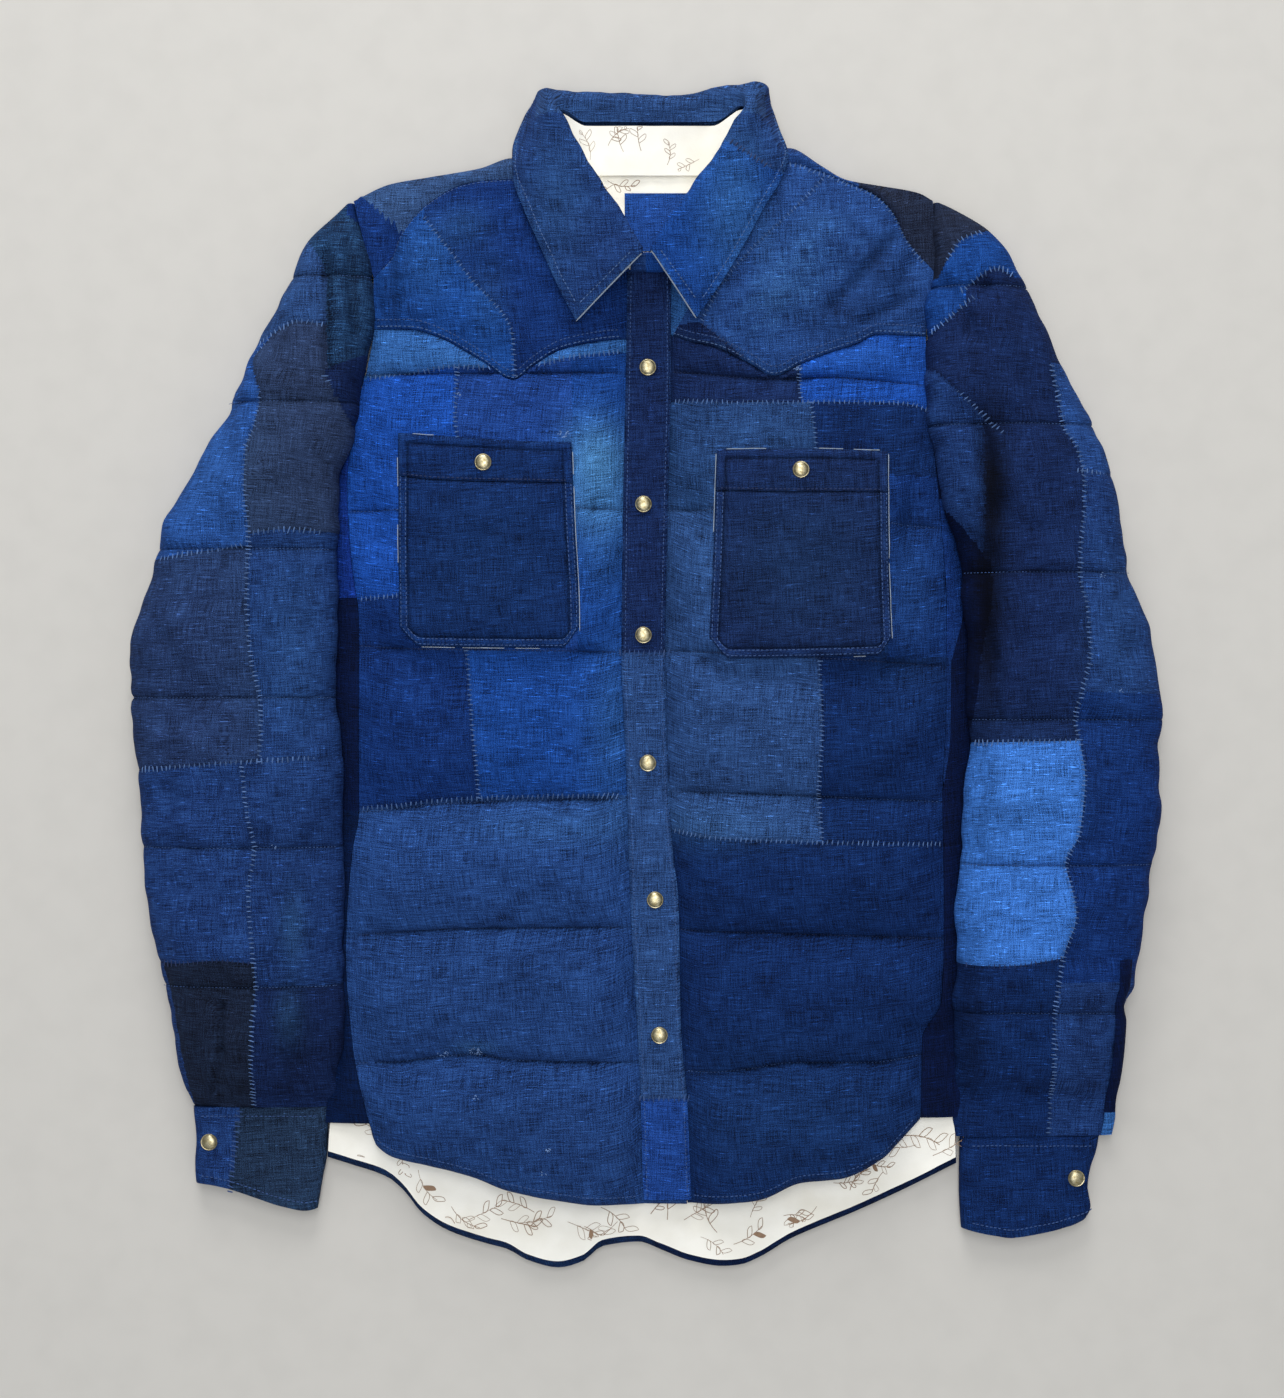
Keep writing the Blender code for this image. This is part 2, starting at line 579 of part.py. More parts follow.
def make_cuff(side, outer, inner, end, top):
    """Flat tube in two layers, open at its free end."""
    around, rows = 16, 5

    def ring(width, low, high, i, j):
        turn = 2 * math.pi * i / around
        across, up = math.cos(turn), math.sin(turn)
        y = top
        for _ in range(4):
            x_out, x_in = outer(y), inner(y)
            half = 0.5 * (x_in - x_out)
            half -= math.copysign(width, half)
            x = 0.5 * (x_in + x_out) - half * math.copysign(abs(across) ** 0.6, across)
            y = top + (end(x) - top) * j / rows
        share = 0.5 + 0.5 * math.copysign(min(1.0, 1.2 * abs(up) ** 0.6), up)
        return x, y, low + (high - low) * share

    middle = CUFF_HEIGHT / 2
    slab("cuff_" + side, NAVY, around, rows,
         lambda i, j: ring(CUFF_WALL, middle - 0.8, middle + 0.8, i, j),
         lambda i, j: ring(0, 0.0, CUFF_HEIGHT, i, j), closed=True)


# Collar

def side_section(fold, edge):
    """Leaf section on the front: up inside the fold, over it and out to the free edge."""
    fold, edge = Vector(fold), Vector(edge)
    outward = Vector((edge.x - fold.x, edge.y - fold.y, 0)).normalized()
    return [fold - Vector((0, 0, 9)), fold - Vector((0, 0, 2.5)), fold + 3.5 * outward + Vector((0, 0, 0.5)),
            fold.lerp(edge, 0.5) + Vector((0, 0, 2.5)), edge]


def back_section(x):
    """Leaf section behind the neck: up the inside, over the fold and flat on the ground."""
    seam, fold = COLLAR_BACK_SEAM, COLLAR_BACK_FOLD
    return [Vector((x, seam, 17.6)), Vector((x, fold - 7, 20.5)), Vector((x, fold, 12.5)),
            Vector((x, fold - 7, 3.2)), Vector((x, seam - 20, 1.8))]


def collar_sections():
    right = [side_section(f, e) for f, e in zip(COLLAR_RIGHT_FOLD, COLLAR_RIGHT_EDGE)]
    left = [side_section(f, e) for f, e in zip(COLLAR_LEFT_FOLD, COLLAR_LEFT_EDGE)]
    corner_right = [Vector(p) for p in COLLAR_RIGHT_CORNER]
    corner_left = [Vector(p) for p in COLLAR_LEFT_CORNER]
    back = [back_section(x) for x in COLLAR_BACK_X]
    return right + [corner_right] + back + [corner_left] + left[::-1]


def surface_through(sections):
    """Smooth surface through sections: s runs along them and t along each one, both from 0 to 1."""
    count, size = len(sections), len(sections[0])
    lines = [[curve([(k, sections[k][m][axis]) for k in range(count)]) for axis in range(3)]
             for m in range(size)]

    def point(s, t):
        along = [[float(line(s * (count - 1))) for line in lines[m]] for m in range(size)]
        return Vector([float(curve([(m, along[m][axis]) for m in range(size)])(t * (size - 1)))
                       for axis in range(3)])

    return point


def wall(name, colour, columns, rows, point, thickness):
    """Cloth wall of even thickness about a middle surface."""
    bm, column, row = numbered_grid(columns, rows, False)
    for vert in bm.verts:
        vert.co = point(vert[column] / columns, vert[row] / rows) * MM
    piece = new_object(name, bm, colour)
    solidify = piece.modifiers.new("Wall", "SOLIDIFY")
    solidify.thickness = thickness * MM
    solidify.offset = 0.0
    return piece


def make_collar():
    sections = collar_sections()
    wall("collar", BLUE, COLLAR_STEPS, 8, surface_through(sections), COLLAR_WALL)
    feet = []
    for section in sections[1:-1]:
        along = (section[1] - section[0]).normalized()
        top = section[0] - STAND_GAP * along
        behind = max(0.0, top.y - STAND_SEAM)
        foot = Vector((top.x * (1 - STAND_SLOPE * behind), top.y - behind, STAND_FOOT))
        middle = foot.lerp(top - 4 * along, 0.7)
        feet.append([foot, middle, top])
    wall("collar_stand", CREAM, COLLAR_STEPS - 6, 3, surface_through(feet), STAND_WALL)


def make_stand_end():
    """Overlapped ends of the stand, rising from the band to the collar's apex."""
    low = lambda x, y: 24.0 + (y - 281.6) * 0.8
    panel("stand_end", BLUE, (level(-8.5), level(10)), (even(3),), (level(281.6), level(290)), (even(2),),
          low, raised(low, 5))


# Snaps

def make_snap(name, x, y, z):
    """Domed brass cap, turned from its profile."""
    profile = ((SNAP_RADIUS, 0.0), (SNAP_RADIUS, 0.9), (SNAP_RADIUS * 0.7, 2.1), (0.0, SNAP_HEIGHT))
    bm = bmesh.new()
    rings = [(0.0, 0.0)] + list(profile)
    verts = [bm.verts.new(Vector((r, 0, h)) * MM) for r, h in rings]
    edges = [bm.edges.new(pair) for pair in zip(verts, verts[1:])]
    bmesh.ops.spin(bm, geom=verts + edges, axis=(0, 0, 1), cent=(0, 0, 0), angle=2 * math.pi,
                   steps=SNAP_SIDES, use_merge=True)
    bmesh.ops.remove_doubles(bm, verts=bm.verts, dist=0.00001)
    snap = new_object(name, bm, BRASS, metallic=1.0, roughness=0.35)
    snap.location = Vector((x, y, z)) * MM


def highest(surface, x, y):
    """Highest point of a surface under a snap."""
    spots = [(0, 0)] + [(SNAP_RADIUS * math.cos(a), SNAP_RADIUS * math.sin(a))
                        for a in (k * math.pi / 4 for k in range(8))]
    return max(float(surface(x + dx, y + dy)) for dx, dy in spots)


def make_snaps():
    for number, (x, y) in enumerate(BAND_SNAPS, 1):
        make_snap("placket_snap_%d" % number, x, y, highest(band_over, x, y) + GAP)
    for side, pocket in POCKETS.items():
        x, y = POCKET_SNAPS[side]
        make_snap("pocket_snap_" + side, x, y, highest(pocket_over(pocket), x, y) + POCKET_FOLD + GAP)
        x, y = CUFF_SNAPS[side]
        make_snap("cuff_snap_" + side, x, y, CUFF_HEIGHT + GAP)


for old in list(bpy.data.objects):
    bpy.data.objects.remove(old, do_unlink=True)
collection = bpy.data.collections.new("patched boro jacket")
bpy.context.scene.collection.children.link(collection)

make_back()
for part_side in ("right", "left"):
    make_front(part_side)
    make_yoke(part_side)
    make_shoulder(part_side)
    make_side(part_side)
    make_sleeve(part_side, SLEEVES[part_side])
make_band()
make_pocket("right", POCKETS["right"])
make_pocket("left", POCKETS["left"])
make_vent()
make_cuff("right", curve(CUFF_RIGHT_OUTER), curve(CUFF_RIGHT_INNER), curve(CUFF_RIGHT_END),
          SLEEVE_RIGHT_END - GAP)
make_cuff("left", curve(CUFF_LEFT_OUTER), curve(CUFF_LEFT_INNER), curve(CUFF_LEFT_END),
          SLEEVE_LEFT_END - GAP)
make_collar()
make_stand_end()
make_snaps()
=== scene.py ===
"""Looks of the patched boro jacket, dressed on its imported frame.

Sizes are in millimetres, as in the part's source, and MM turns a point into metres when a mesh is made.
The collar points to +Y and the wearer's right side lies at -X. A surface is a function that gives its
height over a plan point (x, y), so cloth, sewing and trim all lie on the same form.
"""
import math

import bmesh
import bpy
import numpy as np
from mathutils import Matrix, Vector


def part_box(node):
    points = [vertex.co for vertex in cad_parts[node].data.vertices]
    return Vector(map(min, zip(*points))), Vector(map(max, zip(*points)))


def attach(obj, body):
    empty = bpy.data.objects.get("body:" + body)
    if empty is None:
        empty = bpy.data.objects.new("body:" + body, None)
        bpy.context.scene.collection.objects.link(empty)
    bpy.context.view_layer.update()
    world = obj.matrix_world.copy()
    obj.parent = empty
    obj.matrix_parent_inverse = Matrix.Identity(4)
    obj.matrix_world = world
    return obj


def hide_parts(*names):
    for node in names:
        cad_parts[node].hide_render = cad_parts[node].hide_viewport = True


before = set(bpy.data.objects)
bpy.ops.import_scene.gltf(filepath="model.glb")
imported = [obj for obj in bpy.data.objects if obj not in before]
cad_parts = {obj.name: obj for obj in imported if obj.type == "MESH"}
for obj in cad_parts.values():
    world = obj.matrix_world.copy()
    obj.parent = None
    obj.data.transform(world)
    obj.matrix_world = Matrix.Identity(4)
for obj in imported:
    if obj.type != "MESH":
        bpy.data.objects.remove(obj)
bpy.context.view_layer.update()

MM = 0.001
GAP = 0.3
STEP = 2.3
FAR = 1e9
APART = 99.0
SIDES = ("right", "left")
TOWARD = {"right": 1, "left": -1}

# View and stage: the camera's height and place, the floor's length that fills the frame's height, and the
# lamps as (name, place and size in metres, power)
CAMERA_HEIGHT = 1600.0
CAMERA_PLACE = (-3.0, -13.0)
FRAME_MM = 974.97
FLOOR_HALF = 4.0
FLOOR_TOP = -0.0004
LAMPS = (("sky", (0.0, 0.4, 2.6), (0.9, 2.9), 44), ("window", (-0.3, 2.7, 1.3), (1.5, 1.5), 54),
         ("fill", (0.5, -2.4, 1.7), (2.0, 2.0), 7))

# Thicknesses and levels, as in the part's source
BACK_WALL = 9.0
LINING_TOP = 10.8
FRONT_UNDER = 11.1
SEAM_WALL = 6.0
PUFF_WALL = 24.0
LINE_RISE = 0.26
YOKE_WALL = 21.0
SIDE_ROUNDING = 45.0
BAND_UNDER = 17.4
BAND_WALL = 4.5
BAND_SWELL = 2.0
POCKET_GAP = 0.5
POCKET_WALL = 3.0
POCKET_SWELL = 3.0
POCKET_FOLD = 0.6
POCKET_BORDER = 6.4
SHOULDER_FOOT = 13.3
COLLAR_WALL = 3.5
STAND_WALL = 3.0
HEM_RIM = 5.5
HEM_EDGE = 5.4
SIDE_RIM = 1.0
HEM_BAND = 52.0

# Outlines in plan: side edges as (y, x), other lines as (x, y)
BODY_LINES = (-263, -173, -78, 20, 115, 210, 305)
BODY_EDGES = {
    "right": (
        (-345, -213), (-333, -221.5), (-300, -219.5), (-267, -215.2), (-237, -212.2), (-115, -212.2),
        (-53, -214.2), (0, -217.2), (100, -217.2), (134, -215.2), (154, -208.2), (185, -201.2),
        (224, -191.2), (248, -188.2), (277, -188.6), (305, -196.2), (331, -203)
    ),
    "left": (
        (-340, 215.5), (-310, 215), (-147, 215.5), (-110, 219.2), (-28, 223.2), (27, 223.2), (55, 220.2),
        (83, 216.2), (116, 209.2), (156, 200.2), (184, 195.2), (227, 193.2), (255, 194.2), (281, 200.2),
        (306, 198.2), (331, 198.7)
    ),
}
SHOULDER_LINE = (
    (-203, 331), (-177, 343), (-149, 348), (-115, 354), (-93, 361), (-72, 361), (-44, 354), (-3, 353),
    (37, 355), (72, 364), (99, 368), (120, 356), (137, 346), (161, 342), (188, 337), (199, 331)
)
BACK_HEM = (
    (-222, -331), (-206, -336), (-180, -345), (-168, -355), (-156, -370), (-138, -382), (-112, -391),
    (-97, -395), (-82, -403), (-61, -408), (-45, -404), (-30, -393), (-5, -390), (9, -395), (30, -403),
    (53, -407), (65, -406), (78, -401), (100, -388), (128, -376), (145, -369), (180, -353), (216, -335)
)
FRONT_SEAMS = {
    "right": (
        (-306, -191), (-254, -202), (-185, -207), (-116, -202), (-92, -198), (41, -198), (82, -203),
        (130, -206), (171, -203), (185, -200.5), (209, -194), (224, -190.5), (242, -188), (277, -188)
    ),
    "left": (
        (-302, 189), (-247, 190), (-221, 203), (-171, 205), (-83, 204), (-14, 206.5), (55, 206.5),
        (82, 205), (130, 201), (171, 196.5), (209, 193), (237, 192.7), (262, 195.5), (281, 199)
    ),
}
FRONT_HEMS = {
    "right": (
        (-191, -307), (-187, -320), (-173, -329), (-149, -334), (-121, -341), (-94, -351), (-59, -358),
        (-32, -361), (30, -362)
    ),
    "left": (
        (0, -362), (30, -361), (51, -360), (78, -357), (106, -346), (133, -343), (161, -330), (175, -317),
        (190, -302)
    ),
}
YOKE_LINES = {
    "right": (
        (-193, 242), (-161, 241), (-141, 235), (-114, 220), (-91, 206), (-79, 215), (-59, 227), (-38, 232),
        (-17, 235), (18, 236)
    ),
    "left": (
        (12, 239), (17, 238), (30, 233), (50, 228), (71, 218), (88, 209), (105, 217), (125, 225),
        (146, 232), (159, 238), (193, 237)
    ),
}
YOKE_TOPS = {
    "right": (
        (-189, 276), (-175, 291), (-169, 305), (-159, 319), (-145, 331), (-130, 339), (-116, 342),
        (-95, 344), (-75, 346), (-62, 346), (-52, 343), (-46, 338), (-38, 326), (-24, 306), (-16, 290),
        (-8, 281), (14, 281)
    ),
    "left": (
        (14, 283), (19, 292), (24, 303), (40, 322), (52, 336), (62, 343), (75, 348), (99, 355), (120, 349),
        (142, 340), (157, 333), (171, 319), (179, 303), (199, 281)
    ),
}
BAND_EDGES = {
    "right": (
        (-358, -2), (-287, -4), (-244, -6), (-151, -11), (-57, -14), (17, -17), (121, -16), (216, -14),
        (281, -13)
    ),
    "left": (
        (-358, 31), (-287, 28), (-244, 24), (-151, 22), (-116, 18), (-57, 15), (17, 13), (121, 15),
        (216, 17), (281, 17)
    ),
}
BAND_TOP = 281.0
BAND_FOOT = -357.6
POCKETS = {
    "right": {
        "low_x": ((36, -168.5), (95, -169), (168, -169)),
        "high_x": ((35, -46), (41, -46), (109, -49), (162, -51)),
        "bottom": ((-169, 37), (-153, 23), (-58, 22), (-46, 36)),
        "seam": ((-169, 139), (-140, 136), (-50, 134)),
        "top": ((-169, 168), (-120, 165), (-59, 162), (-50, 162)),
    },
    "left": {
        "low_x": ((29, 43), (95, 46), (157, 48)),
        "high_x": ((30, 167), (95, 165), (156, 164.5)),
        "bottom": ((43, 29), (57, 15), (157, 17), (167, 30)),
        "seam": ((46, 129), (104, 128), (166, 128)),
        "top": ((47, 157), (104, 157.5), (166, 156)),
    },
}

# Quilting of the fronts as it was sewn, a little off the straight
QUILTING = {
    "right": (
        ((-199, -264), (-165, -262), (-143, -259), (-117, -257.5), (-91, -261.5), (20, -264)),
        ((-199, -175.5), (-122, -171), (20, -170)),
        ((-211, -92), (-172, -89), (-144, -85.5), (-116, -84), (-66, -82.5), (20, -82)),
        ((-205, 24), (-150, 21), (20, 19)), ((-205, 116), (20, 118)), ((-205, 210), (20, 212))
    ),
    "left": (
        ((0, -266), (42, -270), (73, -267), (100, -263), (155, -263), (190, -258)),
        ((0, -171), (78, -174), (144, -176), (205, -178)), ((0, -76), (119, -80), (206, -84)),
        ((0, 21), (43, 19), (169, 12), (208, 9)), ((0, 117), (60, 116), (171, 107), (200, 105)),
        ((0, 214), (98, 207), (124, 208), (191, 203))
    ),
}
SLEEVE_OUTER = {
    "right": (
        (-295, -313), (-273, -319), (-226, -328), (-160, -341), (-100, -346), (-30, -352), (21, -353),
        (66, -341), (118, -322), (169, -297), (219, -272), (266, -246), (300, -232), (318, -217),
        (331, -204.6)
    ),
    "left": (
        (-316, 317), (-287, 323), (-217, 329), (-147, 345), (-56, 354), (-8, 352), (34, 345), (71, 332),
        (105, 325), (147, 316), (184, 301), (239, 274), (288, 250), (309, 235), (326, 212), (331, 201)
    ),
}
# How far a sleeve's upper half lies over the body's edge, and how much further out its outer edge lies
# than in the solids, along y
SLEEVE_LAP = {
    "right": ((-330, 5.2), (158, 5.2), (188, 1.2)),
    "left": ((-318, 0.2), (-284, 4.2), (158, 4.2), (188, 1.2)),
}
SLEEVE_FULLER = {
    "right": (
        (-296, 3), (-280, 1), (-225, 1), (-208, 3.4), (-190, 1.6), (-130, 1.2), (-111, 2.4), (-95, 0.6),
        (-30, 0.4), (-14, 2.8), (4, 0.4), (60, 1.2), (76, 2.2), (90, 1), (180, 0.8), (194, 2.2), (210, 1),
        (270, 2), (292, 3), (327, 3)
    ),
    "left": (
        (-316, 5.5), (-305, 5), (-291, 2.6), (-236, 2.2), (-222, 1.2), (-208, 4.8), (-180, 3.2),
        (-166, 1.2), (-110, 0), (40, 0), (62, 2.2), (83, 2.6), (105, 0), (236, 0), (257, 3.2), (271, 3.8),
        (291, 2), (327, 2)
    ),
}
SLEEVE_LINES = {
    "right": (-295, -209, -114, -12, 89, 189, 276, 340),
    "left": (-316, -227, -126, -27, 73, 174, 269, 340),
}
SLEEVE_ENDS = {
    "right": (-295.0, 321.0),
    "left": (-315.5, 327.0),
}
SLEEVE_CROWN = 330.4
SIDE_TUCK = 2.0
EDGE_PINCH = 0.6
SLEEVE_HEIGHTS = (
    (-10, 11), (0, 15), (12, 27), (28, 38), (62, 46), (125, 52), (225, 55), (325, 56), (445, 54), (540, 49),
    (580, 40), (602, 29), (616, 18), (644, 17)
)
SLEEVE_CLEARANCE = 0.9
VENT_TOP = -190.0
VENT_TURNS = (
    ((-316, 0.25), (-235, 0.25), (-222, 0.42), (-190, 0.6)), ((-316, 0.6), (-235, 0.63), (-190, 0.83))
)
VENT_RISE = 2.8
CUFF_HEIGHT = 15.0
CUFFS = {
    "right": {
        "outer": ((-350, -312), (-333, -313), (-320, -312), (-295, -314)),
        "inner": ((-366, -228), (-345, -224.6), (-331, -221.9), (-308, -220.8), (-295, -220.5)),
        "end": ((-313, -348), (-302, -349), (-276, -356), (-252, -364), (-235, -367), (-228, -366)),
    },
    "left": {
        "outer": ((-376, 303), (-365, 308), (-351, 306), (-338, 308), (-326, 312), (-316, 314)),
        "inner": ((-381, 218.5), (-351, 217), (-316, 217.5)),
        "end": ((216, -379), (239, -384), (253, -386), (266, -384), (285, -380), (303, -374), (309, -370)),
    },
}
COLLAR_FOLDS = {
    "right": (
        (-3, 289, 51), (-14, 309, 54), (-28, 330, 55), (-41, 350, 54), (-51, 370, 51), (-57, 381, 48),
        (-63, 391, 43)
    ),
    "left": (
        (3, 291, 51), (14, 309, 54), (29, 328, 55), (42, 346, 54), (53, 363, 51), (61, 378, 48),
        (69, 391, 43)
    ),
}
COLLAR_EDGES = {
    "right": (
        (-48, 245, 38), (-60, 268, 38), (-72, 295, 37), (-83, 320, 37), (-91, 344, 31), (-92, 364, 20),
        (-86, 385, 10)
    ),
    "left": (
        (34, 247, 38), (51, 271, 38), (67, 298, 37), (80, 322, 37), (92, 343, 32), (97, 360, 27),
        (91, 381, 13)
    ),
}
COLLAR_CORNERS = {
    "right": ((-57, 390, 28), (-60, 397, 30), (-68, 404, 24), (-74, 406, 13), (-73, 401, 4)),
    "left": ((64, 393, 28), (66, 403, 30), (75, 410, 24), (83, 408, 13), (82, 400, 4)),
}
COLLAR_BACK_X = (-42, -22, 0, 22, 46)
BACK_WAVE = ((-42, 1.0), (-22, 0.6), (0, -0.8), (22, -1.2), (34, 0.8), (46, 3.6))
COLLAR_BACK_SEAM = 385.0
COLLAR_BACK_FOLD = 404.0
STAND_FOOT = 12.9
STAND_SEAM = 349.0
STAND_SLOPE = 0.005
STAND_GAP = 2.8
SNAP_RADIUS = 5.75
BAND_SNAPS = ((1, 215), (-2, 121), (-2, 31), (1, -57), (6, -151), (9, -244))
POCKET_SNAPS = {"right": (-111, 148), "left": (105, 143)}
CUFF_SNAPS = {"right": (-302, -319), "left": (297, -344)}

# Cloths: 8-bit screen colour, then how worn the dye is; a few entries are painted shade, not cloth
CLOTHS = {
    "bright": (21, 66, 147, 0.1), "royal": (19, 59, 128, 0.15), "cobalt": (17, 57, 122, 0.2),
    "sky": (51, 102, 180, 0.3), "haze": (42, 86, 147, 0.3), "slate": (30, 56, 101, 0.3),
    "steel": (36, 63, 111, 0.3), "denim": (30, 60, 116, 0.3), "ocean": (24, 58, 126, 0.15),
    "dusk": (24, 49, 101, 0.3), "navy": (12, 41, 98, 0.15), "deep": (10, 35, 82, 0.1),
    "night": (16, 33, 74, 0.1), "ink": (31, 48, 87, 0.2), "coal": (37, 51, 82, 0.1),
    "black": (21, 30, 51, 0.1), "teal": (18, 42, 76, 0.6), "grey": (29, 45, 70, 0.2),
    # Painted shade: the next row's blues stand for cloth in shade, on the side panels and in the left
    # sleeve's inner valley; the vent strip wears the first of them too
    "shadow": (3, 16, 50, 0.0), "umbra": (3, 21, 56, 0.0), "dusky": (11, 40, 112, 0.1),
    "soot": (27, 34, 54, 0.1), "smoke": (45, 69, 110, 0.3), "azure": (32, 69, 134, 0.15),
    "plain": (27, 63, 130, 0.1),
}
WASHED = (0.08, 0.25, 0.5)

# Weave: scale across and along the threads, detail, and how much it shades the dye
WEAVE = (((0.055, 1.6, 1), 2.0, 1.15), ((1.6, 0.065, 1), 2.0, 1.0), ((1.7, 1.7, 1), 0.0, 1.1),
         ((0.14, 0.2, 1), 2.0, 0.2), ((0.03, 0.045, 1), 2.0, 0.4))
UNROLL = (0.35, 0.45)
PATCH_APART = 41.0

# Seams, folds and rows of padding; SEAM_SHADE and FOLD_SHADE set the shade painted into the dye along seams
# and folds
SEAM_DEPTH = 0.55
SEAM_SHADE = 0.3
SEAM_REACH = 1.6
FOLD_SHADE = 0.055
FOLD_ROWS = (0.9, 2.9)
SNAP_REACH = 0.85
PUFF_SHAPE = 0.6
TOP_ROW = 0.45
SLEEVE_ROUND = 0.85
LINING_SEAT = 0.5
BAND_STITCH = 2.6
COLLAR_STITCH = 5.6
CUFF_STITCH = 6.0
CUFF_GROOVE = 1.1832
CUFF_LENGTH = 62
PUCKER_SEEDS = {"front_right": 11, "front_left": 23, "sleeve_right": 51, "sleeve_left": 61}

# Random relief of each kind of surface, as (height, size, seed)
BUMPS = {
    "front": ((0.8, 38, 5), (0.3, 18, 7), (0.2, 11, 6)),
    "yoke": ((0.9, 32, 8), (0.35, 16, 12), (0.18, 10, 9)),
    "band": ((0.22, 16, 31), (0.12, 7, 32)), "pocket": ((0.4, 24, 41), (0.16, 8, 42)),
    "sleeve": ((0.45, 17, 57), (0.25, 11, 56)), "collar": ((0.45, 17, 91), (0.2, 7, 92)),
    "lining": ((0.35, 24, 101), (0.15, 9, 102)),
}

# Small pieces: ends of the collar stand and patch in the neck in plan, and half profile of a snap
STAND_END = (-11.0, 12.0, 280.2, 291.5)
NECK_PATCH = (-15.0, 297, 337)
NECK_PATCH_EDGE = ((297, 16), (303, 20), (322, 33), (337, 36))
SNAP_RISE = 2.32
SNAP_PROFILE = ((0.94, 0.0), (1.0, 0.25), (1.0, 0.7), (0.95, 1.0), (0.88, 0.9), (0.84, 1.2), (0.76, 1.65),
                (0.6, 2.0), (0.3, 2.25))

# Where piping shows along the pockets' edges, as (edge, start, stop), in shares of the edge
PIPED = {
    "right": (("high_x", 0.04, 0.8), ("high_x", 0.86, 0.98), ("bottom", 0.13, 0.32), ("bottom", 0.36, 0.6),
              ("bottom", 0.66, 0.8), ("top", 0.08, 0.2), ("low_x", 0.8, 0.95), ("low_x", 0.4, 0.6)),
    "left": (("high_x", 0.0, 0.4), ("high_x", 0.42, 0.97), ("low_x", 0.56, 0.97), ("top", 0.07, 0.3),
             ("top", 0.6, 0.74), ("top", 0.8, 0.95), ("bottom", 0.8, 0.87)),
}

# Frayed places and knots of lint, as (x, y, reach, number of threads)
FRAYS = (
    (-117.6, -254.5, 4.5, 26), (-139.8, -256.5, 3.5, 12), (-116.5, -285, 2.0, 5), (-67.5, -320.7, 1.6, 10),
    (-70, -337, 2.5, 4), (104, 214, 2.5, 8), (-56, 168, 4.0, 14), (-128, 196, 2.0, 4), (59, 230, 2.0, 4),
    (-306, -112, 2.5, 5), (-252, -113, 2.5, 4), (309, 71, 3.0, 7), (320, -8, 2.5, 4)
)

# Thread colours, and the patch seams that are sewn with thread as dark as the cloth
PALE_THREAD = (70, 101, 150)
BLUE_THREAD = (44, 74, 126)
DARK_THREAD = (20, 40, 84)
COLLAR_THREAD = (62, 92, 140)
FRAY_THREAD = (100, 130, 176)
DULL_SEAMS = ("dark", "foot")

# Stitches: pitch, length, width and height; zigzag bars lie across their line and the others along it
STITCHES = {"zigzag": (3.5, 5.2, 0.95, 0.5), "running": (3.1, 2.3, 0.7, 0.4), "fine": (2.6, 1.7, 0.5, 0.3)}


# Curves and shares

def curve(points):
    """Smooth line through (t, value) points that never overshoots them."""
    points = sorted(points)
    t = np.array([p[0] for p in points], float)
    v = np.array([p[1] for p in points], float)
    step = np.diff(t)
    rate = np.diff(v) / step
    slope = np.zeros(len(t))
    slope[0], slope[-1] = rate[0], rate[-1]
    for i in range(1, len(t) - 1):
        if rate[i - 1] * rate[i] > 0:
            slope[i] = 2 * rate[i - 1] * rate[i] / (rate[i - 1] + rate[i])

    def value(at):
        at = np.clip(at, t[0], t[-1])
        i = np.clip(np.searchsorted(t, at) - 1, 0, len(step) - 1)
        f = (at - t[i]) / step[i]
        return (v[i] * (1 + 2 * f) * (1 - f) ** 2 + v[i + 1] * f * f * (3 - 2 * f)
                + step[i] * (slope[i] * f * (1 - f) ** 2 - slope[i + 1] * f * f * (1 - f)))

    return value


def level(height):
    """Straight line across, at a height."""
    return lambda *at: height


def moved(line, by):
    """The same line, moved by a distance."""
    return lambda at: line(at) + by


def rounded(distance, reach):
    """0 at an edge, 1 at a reach from it, as a quarter round."""
    return 1 - (1 - np.clip(distance / reach, 0, 1)) ** 2.2


def hump(distance, reach):
    """1 on a line, falling off smoothly at about a reach from it."""
    return np.exp(-(distance / reach) ** 2)


def puff(y, lines):
    """0 on a quilting line, 1 midway between two."""
    lines = np.array(lines, float)
    i = np.clip(np.searchsorted(lines, y) - 1, 0, len(lines) - 2)
    share = np.clip((y - lines[i]) / (lines[i + 1] - lines[i]), 0, 1)
    return np.sin(np.pi * share) ** PUFF_SHAPE


def ripples(x, y, size, seed):
    """Smooth random relief with bumps of about that size; its usual height is 1."""
    rng = np.random.default_rng(seed)
    waves = 16
    total = 0
    for _ in range(waves):
        turn, phase = rng.uniform(0, 2 * np.pi, 2)
        wave = np.pi / size * rng.uniform(0.6, 1.5)
        total = total + np.cos(wave * (math.cos(turn) * x + math.sin(turn) * y) + phase)
    return total / math.sqrt(waves / 2)


def bumps(kind, x, y):
    """Random relief of one kind of surface."""
    return sum(height * ripples(x, y, size, seed) for height, size, seed in BUMPS[kind])


def to_line(x, y, line):
    """Distance from points to a straight fold, given by its two ends."""
    (ax, ay), (bx, by) = line
    dx, dy = bx - ax, by - ay
    share = np.clip(((x - ax) * dx + (y - ay) * dy) / (dx * dx + dy * dy), 0, 1)
    return np.hypot(x - ax - share * dx, y - ay - share * dy)


def points_at(x, y, z):
    """Points from their three coordinates."""
    return np.stack([x, y, z], -1)


def unit(vectors):
    """Vectors of length 1."""
    return vectors / (np.linalg.norm(vectors, axis=-1)[..., None] + 1e-9)


def linear(rgb):
    """Linear colour of an 8-bit screen colour."""
    c = np.array(rgb[:3], float) / 255
    return np.where(c <= 0.04045, c / 12.92, ((c + 0.055) / 1.055) ** 2.4)


def curves(table):
    """Curve of each side's line in a table."""
    return {side: curve(table[side]) for side in SIDES}


